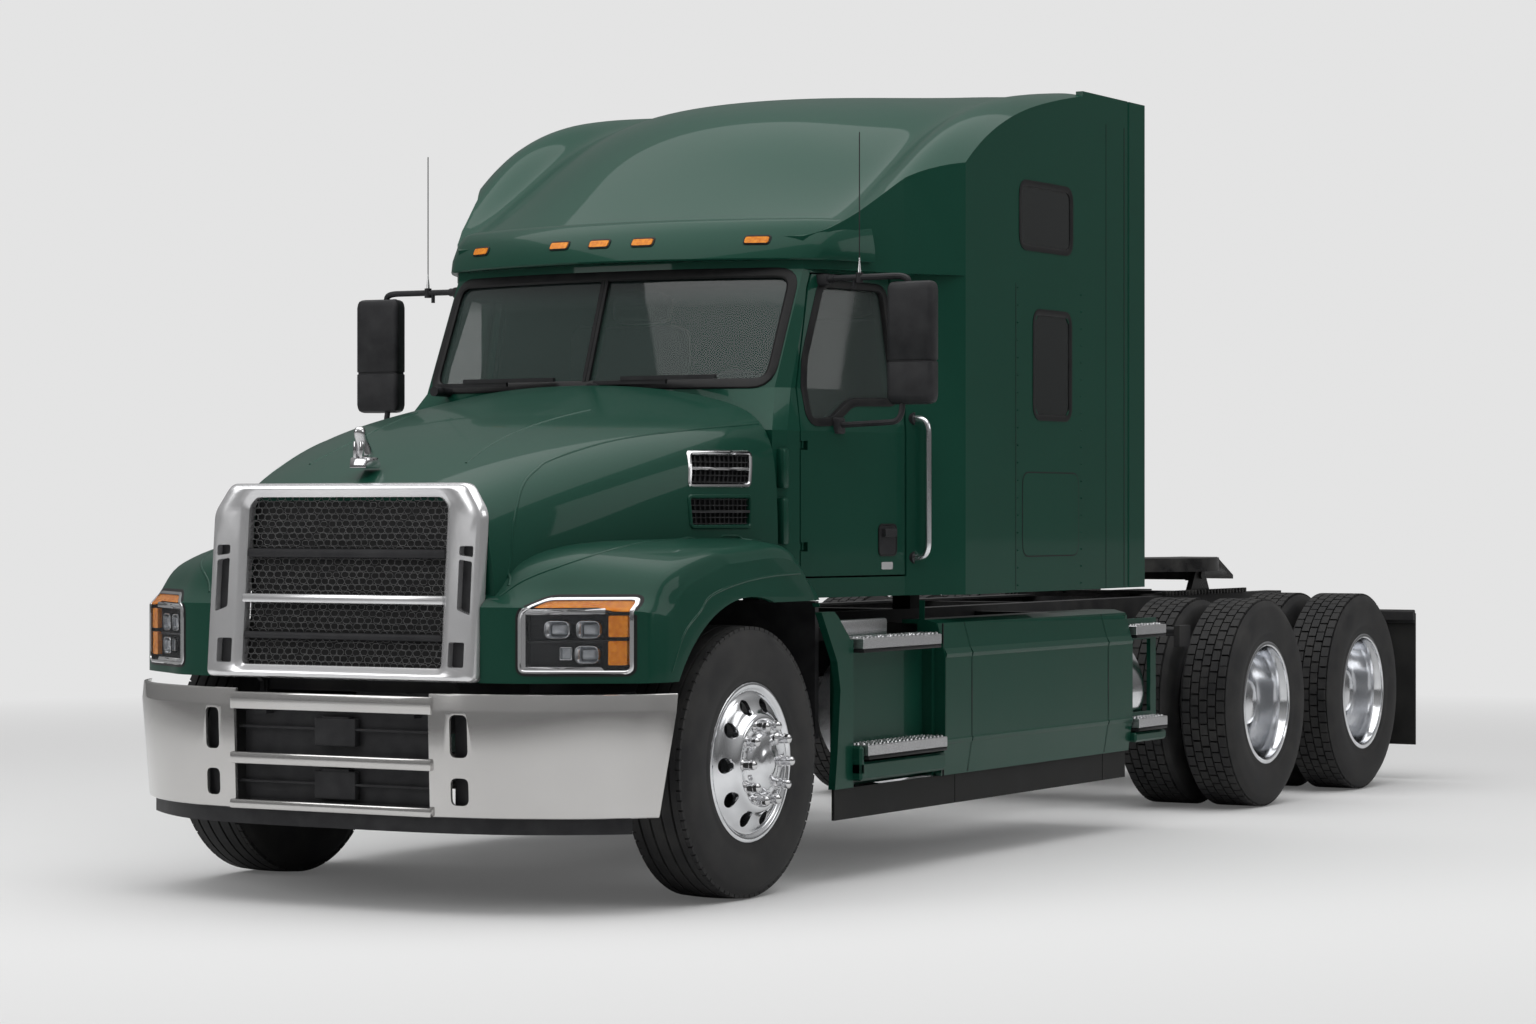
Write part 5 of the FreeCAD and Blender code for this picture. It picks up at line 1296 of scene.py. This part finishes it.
def placedBlocks(tree, given):
    line = tree.add("GeometryNodeMeshLine", {"mode": "OFFSET"},
                    {"Count": given["Count"] * given["Rows"], "Offset": (0, 0, 0)})
    index = tree.add("GeometryNodeInputIndex")[0]
    row = tree.add("ShaderNodeMath", {"operation": "FLOOR"}, {0: index / given["Count"]})[0]
    stray = tree.stray(-0.04, 0.04, given["Seed"])
    angle = (index + (row % 2.0) * 0.5 + stray) * (2 * math.pi) / given["Count"]
    sine, cosine = (tree.add("ShaderNodeMath", {"operation": operation}, {0: angle})[0]
                    for operation in ("SINE", "COSINE"))
    place = tree.trio((row - (given["Rows"] - 1.0) * 0.5) * given["Row Spacing"],
                      sine * given["Reach"] * -1.0,
                      cosine * given["Reach"])
    cube = tree.add("GeometryNodeMeshCube", {},
                    {"Size": tree.trio(given["Width"], given["Length"], given["Depth"])})
    spots = tree.add("GeometryNodeSetPosition", {}, {"Geometry": line[0], "Position": place})
    return tree.add("GeometryNodeInstanceOnPoints", {}, {"Points": spots[0], "Instance": cube[0],
                                                         "Rotation": tree.trio(angle)})[0]


def placedNuts(tree, given):
    def cone(top, foot, depth):
        return tree.add("GeometryNodeMeshCone", {}, {"Vertices": 20, "Radius Top": given["Radius"] * top,
                                                     "Radius Bottom": given["Radius"] * foot,
                                                     "Depth": depth})[0]

    def lifted(shape, height, scale=(1, 1, 1)):
        return tree.add("GeometryNodeTransform", {}, {"Geometry": shape, "Translation": tree.trio(z=height),
                                                      "Scale": scale})[0]

    circle = tree.add("GeometryNodeMeshCircle", {}, {"Vertices": given["Count"], "Radius": given["Ring"]})
    upright = tree.add("GeometryNodeTransform", {},
                       {"Geometry": circle[0], "Rotation": (math.pi / 2, 0, math.pi / 2)})
    stem, foot = cone(0.88, 1, given["Length"]), cone(1.1, 1.35, given["Length"] * 0.22)
    neck = lifted(cone(1.05, 1.05, 0.004), given["Length"] * 0.62)
    ball = tree.add("GeometryNodeMeshUVSphere", {},
                    {"Segments": 20, "Rings": 8, "Radius": given["Radius"] * 0.88})
    cap = lifted(ball[0], given["Length"], (1, 1, 0.55))
    nut = tree.add("GeometryNodeJoinGeometry", {}, {0: [stem, foot, neck, cap]})
    turn = tree.trio(tree.stray(-0.1, 0.1, given["Seed"]), math.pi / 2)
    return tree.add("GeometryNodeInstanceOnPoints", {},
                    {"Points": upright[0], "Instance": nut[0], "Rotation": turn})[0]


def shifted(obj, x, y, sign=1):
    obj.data.transform(Matrix.Translation(spot(x, y, axle)) @ Matrix.Diagonal((sign, 1, 1, 1)))
    if sign < 0:
        obj.data.flip_normals()
    return obj


blockTree = shapeTree("tread_blocks", {"Count": 56, "Rows": 5, "Row Spacing": 0.044, "Width": 0.037,
                                       "Length": 0.049,
                                       "Reach": 0.499, "Depth": 0.015, "Seed": 5}, placedBlocks)
nutTree = shapeTree("nut_covers", {"Count": wheelLook["holes"], "Ring": wheelLook["nutRing"],
                                   "Length": wheelLook["nutLength"], "Radius": 0.0192, "Seed": 4}, placedNuts)
steerSide = tyreProfile(102, 509, wheelLook["grooves"])
driveSide = tyreProfile(108, 493, ())


def rimOf(name, sign, x, y, face, holeFrom, holeTo, nutFrom):
    wheel = turned(name, [(sign * along, reach) for along, reach in face], x, y, wheelLook["count"])
    holes, backs = [], []
    for k in range(wheelLook["holes"]):
        turn = 2 * math.pi * (k + 0.5) / wheelLook["holes"]
        y2 = y + wheelLook["holeRing"] * math.sin(turn)
        z2 = axle + wheelLook["holeRing"] * math.cos(turn)
        start, end = x + sign * holeFrom, sign * (holeTo - holeFrom)
        holes.append(disc("hand_hole", "x", (start, y2, z2), wheelLook["holeRadius"], end, 28))
        back = disc("hole_back", "x", (start - sign * 3, y2, z2), wheelLook["holeRadius"] + 1, sign * 6, 20)
        backs.append(inFinish(back, "seal"))
    wheel = edged(carved(wheel, holes), 2.2, 2, 40)
    nuts = shifted(treeShape("nut_covers", nutTree, "chrome"), x + sign * nutFrom, y, sign)
    shade = [(sign * (nutFrom - depth), reach) for depth, reach in ((8, 120), (8, 60), (4, 60), (4, 120))]
    return [inFinish(wheel, "alloy"), nuts, inFinish(turned("hub_shade", shade, x, y, 40), "alloy"), *backs]


for side, sign in sides:
    body = "wheel_front_" + side
    x = sign * 1030
    tyre = inFinish(turned("tyre", steerSide, x, 0, wheelLook["count"]), "tyre")
    notches = treeShape("shoulder_blocks", blockTree, "tyre", Count=84, Rows=2, RowSpacing=0.2185,
                        Width=0.0155,
                        Length=0.032, Reach=0.4955, Depth=0.018)
    tyre = together(body + "_tyre", [tyre, shifted(notches, x, 0)])
    dressed(tyre, body, stands=["tyre_front_" + side])
    rimParts = rimOf("rim", sign, x, 0, wheelLook["steerFace"], 104, 175, 170)
    dressed(together(body + "_rim", rimParts), body, stands=[body])
    for tag, y in zip(("mid", "rear"), wheelLook["driveY"]):
        body = "wheel_" + tag + "_" + side
        parts = []
        for distance in wheelLook["driveX"]:
            parts.append(inFinish(turned("tyre", driveSide, sign * distance, y), "tyre"))
            parts.append(shifted(treeShape("tread", blockTree, "tyre"), sign * distance, y))
        dressed(together(body + "_tyres", parts), body, stands=["tyres_" + tag + "_" + side])
        rimParts = rimOf("rim", sign, 0, y, wheelLook["driveFace"], 870, 960, 925)
        dressed(together(body + "_rim", rimParts), body, stands=[body])
print("wheels done")

# Side fairings: door lines and the two ridges
fairingLook = {"section": ((366, 1178), (506, 1200), (854, 1200), (986, 1164), (1000, 1110)),
               "doors": (1738, 3086),
               "notch": ((500, 1054), (616, 1054), (648, 1034), (750, 941), (1498, 941), (1498, 1200),
                         (500, 1200)),
               "ridgeEnds": ((1504, 1733), (1743, 3081), (3091, 3346)),
               "edges": ((1500, 470, 986), (1504, 366, 470)),
               "ridges": (((1192, 836), (1203, 850), (1205, 862), (1192, 884)),
                          ((1190, 484), (1203, 500), (1205, 512), (1192, 530)))}


def fairingAt(z):
    levels = fairingLook["section"]
    for (low, lowX), (high, highX) in zip(levels, levels[1:]):
        if z <= high:
            return lowX + (highX - lowX) * (z - low) / (high - low)
    return levels[-1][1]


def onFairing(sign):
    def place(y, z, lift=0.0):
        return spot(sign * (fairingAt(z) + lift), y, z)
    return place


panels = cleaned(linked("fairing_panels", nodes["side_fairings"].data.copy()), 7)
notches = [plate("step_notch", "YZ", fairingLook["notch"], *ends) for ends in ((1080, 1260), (-1260, -1080))]
dressed(cleaned(carved(panels, notches), 7), "chassis", "paint", ["side_fairings"])
for side, sign in sides:
    parts = []
    for y in fairingLook["doors"]:
        line = filled(vectors(fourCorners(y - 4, y + 4, 372, 985)), 20)
        parts.append(inFinish(cover("door_line", line, onFairing(sign), 0.8, -3, 1), "seal"))
    for ends in fairingLook["ridgeEnds"]:
        for section in fairingLook["ridges"]:
            parts.append(inFinish(plate("ridge", "XZ", [(sign * x, z) for x, z in section], *ends), "paint"))
    for y, z0, z1 in fairingLook["edges"]:
        parts.append(inFinish(block("edge_line", sign * 1184, sign * 1190, y - 2, y + 2, z0, z1), "seal"))
    dressed(together("fairing_lines_" + side, parts), "chassis")

# Steps: brushed treads with raised dots above green boxes
stepLook = {"treads": ((790, 1456, 888, 950, 1105, 1205), (800, 1475, 470, 533, 1105, 1222),
                       (3373, 3704, 880, 930, 1155, 1210),
                       (3360, 3673, 451, 512, 1155, 1230)),
            "boxes": ((764, 1490, 392, 470, 1112, 1208), (3352, 3690, 402, 451, 1150, 1216)), "dot": 0.0085,
            "pitch": 33}
dotTree = headTree("tread_dots", stepLook["dot"], 0.005, 12, 0.0)
for side, sign in sides:
    parts, dots = [], []
    for y0, y1, z0, z1, x0, x1 in stepLook["treads"]:
        ends = sided(sign, x0, x1)
        parts.append(inFinish(edged(block("tread", *ends, y0, y1, z1 - 46, z1 - 4), 3, 1), "brushed"))
        parts.append(inFinish(block("tread_lip", *ends, y0 + 2, y1 - 2, z1 - 60, z1 - 47, 2), "seal"))
        x = x0 + 14
        while x < x1 - 8:
            y = y0 + 18 + (8 if int((x - x0) / 22) % 2 else 0)
            while y < y1 - 10:
                dots.append(spot(sign * x, y, z1 - 2.5))
                y += stepLook["pitch"]
            x += 22
    parts.append(treeShape("tread_dots", dotTree, "brushed", dots))
    dressed(together("step_treads_" + side, parts), "chassis", stands=["steps"])
    boxes = []
    for y0, y1, z0, z1, x0, x1 in stepLook["boxes"]:
        boxes.append(edged(block("step_box", *sided(sign, x0, x1), y0, y1, z0, z1 - 6), 9, 1))
    y0, y1, z0, z1, x0, x1 = stepLook["boxes"][0]
    boxes.append(edged(block("step_cheek", *sided(sign, x0, x1), y0, y0 + 30, z0 + 20, 528), 9, 1))
    dressed(together("step_boxes_" + side, boxes), "chassis", "paint")
cheeks = []
for sign in (1, -1):
    section = [(sign * x, z) for z, x in fairingLook["section"]] + [(sign * 1072, 1000), (sign * 1072, 366)]
    cheeks.append(plate("fairing_cheek", "XZ", section, 1497, 1502))
dressed(together("fairing_cheeks", cheeks), "chassis", "paint")
dressed(block("middle_screen", -12, 12, -560, 1560, 760, 1097), "chassis", "rubber")
print("fairings and steps done")

# Dark liners in the wheel wells: one behind the wheel on the chassis, one inside the hood
linerLook = {"behind": (600, 1080, 624, 652, 560, 1094),
             "inside": ((-640, 780), (590, 780), (590, 1290), (-300, 1290), (-640, 1120))}
behind = [block("well_back", *sided(sign, *linerLook["behind"][:2]), *linerLook["behind"][2:])
          for sign in (1, -1)]
dressed(together("well_backs", behind), "chassis", "plastic")
inside = [plate("well_side", "YZ", linerLook["inside"], *sided(sign, 586, 592)) for sign in (1, -1)]
dressed(together("well_sides", inside), "hood", "plastic")

# Mirrors on bent arms, with aerials
mirrorLook = {"plan": ((1180, 1012), (1392, 1002), (1398, 1058), (1340, 1118), (1200, 1109)), "corner": 26,
              "levels": ((1865, 34), (1867, 20), (1873, 9), (1884, 3), (1900, 0), (2028, 0), (2030, 1),
                         (2032, 5), (2038, 5),
                         (2040, 1), (2042, 0), (2316, 0), (2332, 3), (2343, 9), (2349, 20), (2351, 34)),
              "glass": ((1216, 1106), (1326, 1112), (1326, 1122.5), (1216, 1114.5)),
              "panes": ((1884, 2018), (2052, 2334)),
              "arms": ((((866, 1052, 2372), (1262, 1050, 2374), (1262, 1055, 2330)), 13, 60),
                       (((940, 1018, 1784), (1246, 1020, 1796), (1246, 1040, 1885)), 12, 45)),
              "feet": ((842, 908, 1030, 1075, 2346, 2392), (905, 985, 987, 1050, 1750, 1815)),
              "cone": ((2390, 7), (2404, 6.5), (2436, 3), (2452, 2.4))}


def mirrorParts(sign):
    plan = rounded(mirrorLook["plan"], mirrorLook["corner"])
    rings = [[spot(sign * point.x, point.y, z) for point in moved(plan, -inset)]
             for z, inset in mirrorLook["levels"]]
    parts = [cleaned(lofted("mirror_case", rings), 40)]
    for line, radius, bendRadius in mirrorLook["arms"]:
        parts.append(tube("mirror_arm", [(sign * x, y, z) for x, y, z in line], radius, bendRadius))
    for x0, x1, *rest in mirrorLook["feet"]:
        parts.append(block("arm_foot", *sided(sign, x0, x1), *rest, 9))
    parts.append(disc("arm_collar", "x", (sign * 905, 1052, 2372), 17, sign * 26, 20))
    parts.append(disc("aerial_clamp", "z", (sign * 1045, 1050, 2352), 15, 40, 20))
    parts.append(disc("aerial_rod", "z", (sign * 1045, 1050, 2436), 2.2, 516, 10))
    parts.append(disc("aerial_stub", "z", (sign * 1020, 1052, 2330), 8, 34, 16))
    for part in parts:
        inFinish(part, "plastic")
    cone = [[spot(sign * 1045 + reach * math.cos(turn), 1050 + reach * math.sin(turn), z)
             for turn in turns(20)]
            for z, reach in mirrorLook["cone"]]
    parts.append(inFinish(lofted("aerial_foot", cone), "satin"))
    for ends in mirrorLook["panes"]:
        glass = plate("mirror_glass", "XY", [(sign * x, y) for x, y in mirrorLook["glass"]], *ends, 1)
        parts.append(inFinish(glass, "reflector"))
    return parts


for side, sign in sides:
    mirror = together("mirror_set_" + side, mirrorParts(sign))
    dressed(mirror, "door_" + side, stands=["mirror_" + side])

# Grab handles, lines on the extenders, hinge pods and step guards
handles, lines = [], []
for sign in (1, -1):
    path = [(sign * x, 1490, z) for x, z in ((1030, 1254), (1125, 1254), (1125, 1820), (1030, 1820))]
    handles.append(inFinish(tube("handle", path, 14.5, 62, 4), "alloy"))
    for z in (1254, 1820):
        handles.append(inFinish(disc("handle_foot", "x", (sign * 1040, 1490, z), 26, sign * 26, 24),
                                "plastic"))
    for y, wide in ((3254, 5), (3060, 3)):
        lines.append(block("extender_line", *sided(sign, 1196, 1201), y, y + wide, 1104, 3160))
dressed(together("handle_tubes", handles), "chassis", stands=["grab_handles"])
dressed(together("extender_lines", lines), "chassis", "seal")
podLook = {"pods": ((896, 936, 634, 684, 1312, 1496), (896, 936, 634, 684, 1530, 1690)),
           "guard": (1046, 1076, 792, 1232, 940, 1014)}
pods = [edged(block("hinge_pod", *sided(sign, *pod[:2]), *pod[2:]), 12) for sign in (1, -1)
        for pod in podLook["pods"]]
dressed(together("hinge_pods", pods), "chassis", "paint")
guards = [edged(block("step_guard", *sided(sign, *podLook["guard"][:2]), *podLook["guard"][2:]), 10)
          for sign in (1, -1)]
dressed(together("step_guards", guards), "chassis", "brushed")
print("mirrors and handles done")

# Seats and bunk as stuffed covers over the plain forms
padLook = {"across": 500, "fill": 0.7, "bunk": (-1040, 1040, 2092, 2761, 1640, 1792, 22), "bunkFill": 0.6,
           "cuts": 14,
           "seat": {"seat_cushion": (-255, 255, 1330, 1800, 1500, 1678, 22),
                    "seat_back": (-245, 245, 1766, 1900, 1640, 2256, 22, 0.1),
                    "seat_head": (-140, 140, 1850, 1950, 2262, 2400, 16, 0.05)}}


def padOf(name, x0, x1, y0, y1, z0, z1, bow, lean=0.0):
    shape = bmesh.new()
    bmesh.ops.create_cube(shape, size=2.0)
    bmesh.ops.subdivide_edges(shape, edges=shape.edges[:], cuts=padLook["cuts"], use_grid_fill=True)
    centre = Vector(((x0 + x1) / 2, (y0 + y1) / 2, (z0 + z1) / 2))
    half = Vector(((x1 - x0) / 2 - bow, (y1 - y0) / 2 - bow, (z1 - z0) / 2 - bow))
    for vertex in shape.verts:
        flat = vertex.co.copy()
        crown = [math.copysign(1, value) * (1 - (1 - abs(value)) ** 2.4) ** 0.9 if value else 0
                 for value in flat]
        soft = [(1 - flat[(i + 1) % 3] ** 4) * (1 - flat[(i + 2) % 3] ** 4) for i in range(3)]
        out = Vector([math.copysign(bow, flat[i]) * soft[i] if abs(flat[i]) > 0.999 else 0 for i in range(3)])
        at = centre + Vector([half[i] * (flat[i] * 0.7 + crown[i] * 0.3) for i in range(3)]) + out
        at.y += (at.z - z0) * lean
        vertex.co = spot(*at)
    mesh = bpy.data.meshes.new(name)
    shape.to_mesh(mesh)
    shape.free()
    return cleaned(softened(linked(name, mesh)), 60)


def padDressed(pad, fill):
    dressed(pad, "chassis", "fabric", ["seats"])


for side, sign in sides:
    x = sign * padLook["across"]
    for tag, (x0, x1, *rest) in padLook["seat"].items():
        padDressed(padOf(tag + "_" + side, x + x0, x + x1, *rest), padLook["fill"])
padDressed(padOf("bunk_mattress", *padLook["bunk"]), padLook["bunkFill"])

steeringLook = {"centre": (450, 1180, 1809), "radius": 215, "tilt": -60, "grip": 15, "steps": 48}
rimPath = []
for turn in turns(steeringLook["steps"]):
    flat = Vector((math.cos(turn), math.sin(turn), 0)) * steeringLook["radius"]
    flat.rotate(Matrix.Rotation(math.radians(steeringLook["tilt"]), 3, "X"))
    rimPath.append(Vector(steeringLook["centre"]) + flat)
dressed(tube("steering_rim", rimPath, steeringLook["grip"], 0, 4, True), "chassis", "plastic")
print("cab fittings done")

# Coupling: teeth of the slide, and the bolts and strips of the flap bars
couplingLook = {"teeth": 26, "pitch": 42, "first": 5420, "bolts": (680, 905, 1130)}
teeth, fittings = [], []
for sign in (1, -1):
    for k in range(couplingLook["teeth"]):
        y = couplingLook["first"] + k * couplingLook["pitch"]
        teeth.append(block("slide_tooth", *sided(sign, 432, 456), y, y + 24, 1011, 1036, 3))
    for x in couplingLook["bolts"]:
        fittings.append(disc("flap_bolt", "y", (sign * x, 7019.5, 860), 11, -6, 12))
    fittings.append(block("flap_strip", *sided(sign, 600, 1210), 7014, 7020, 842, 888, 2))
dressed(together("slide_teeth", teeth), "chassis", "grease")
dressed(together("flap_fittings", fittings), "chassis", "frame")
print("coupling done")

print("all pieces ride")
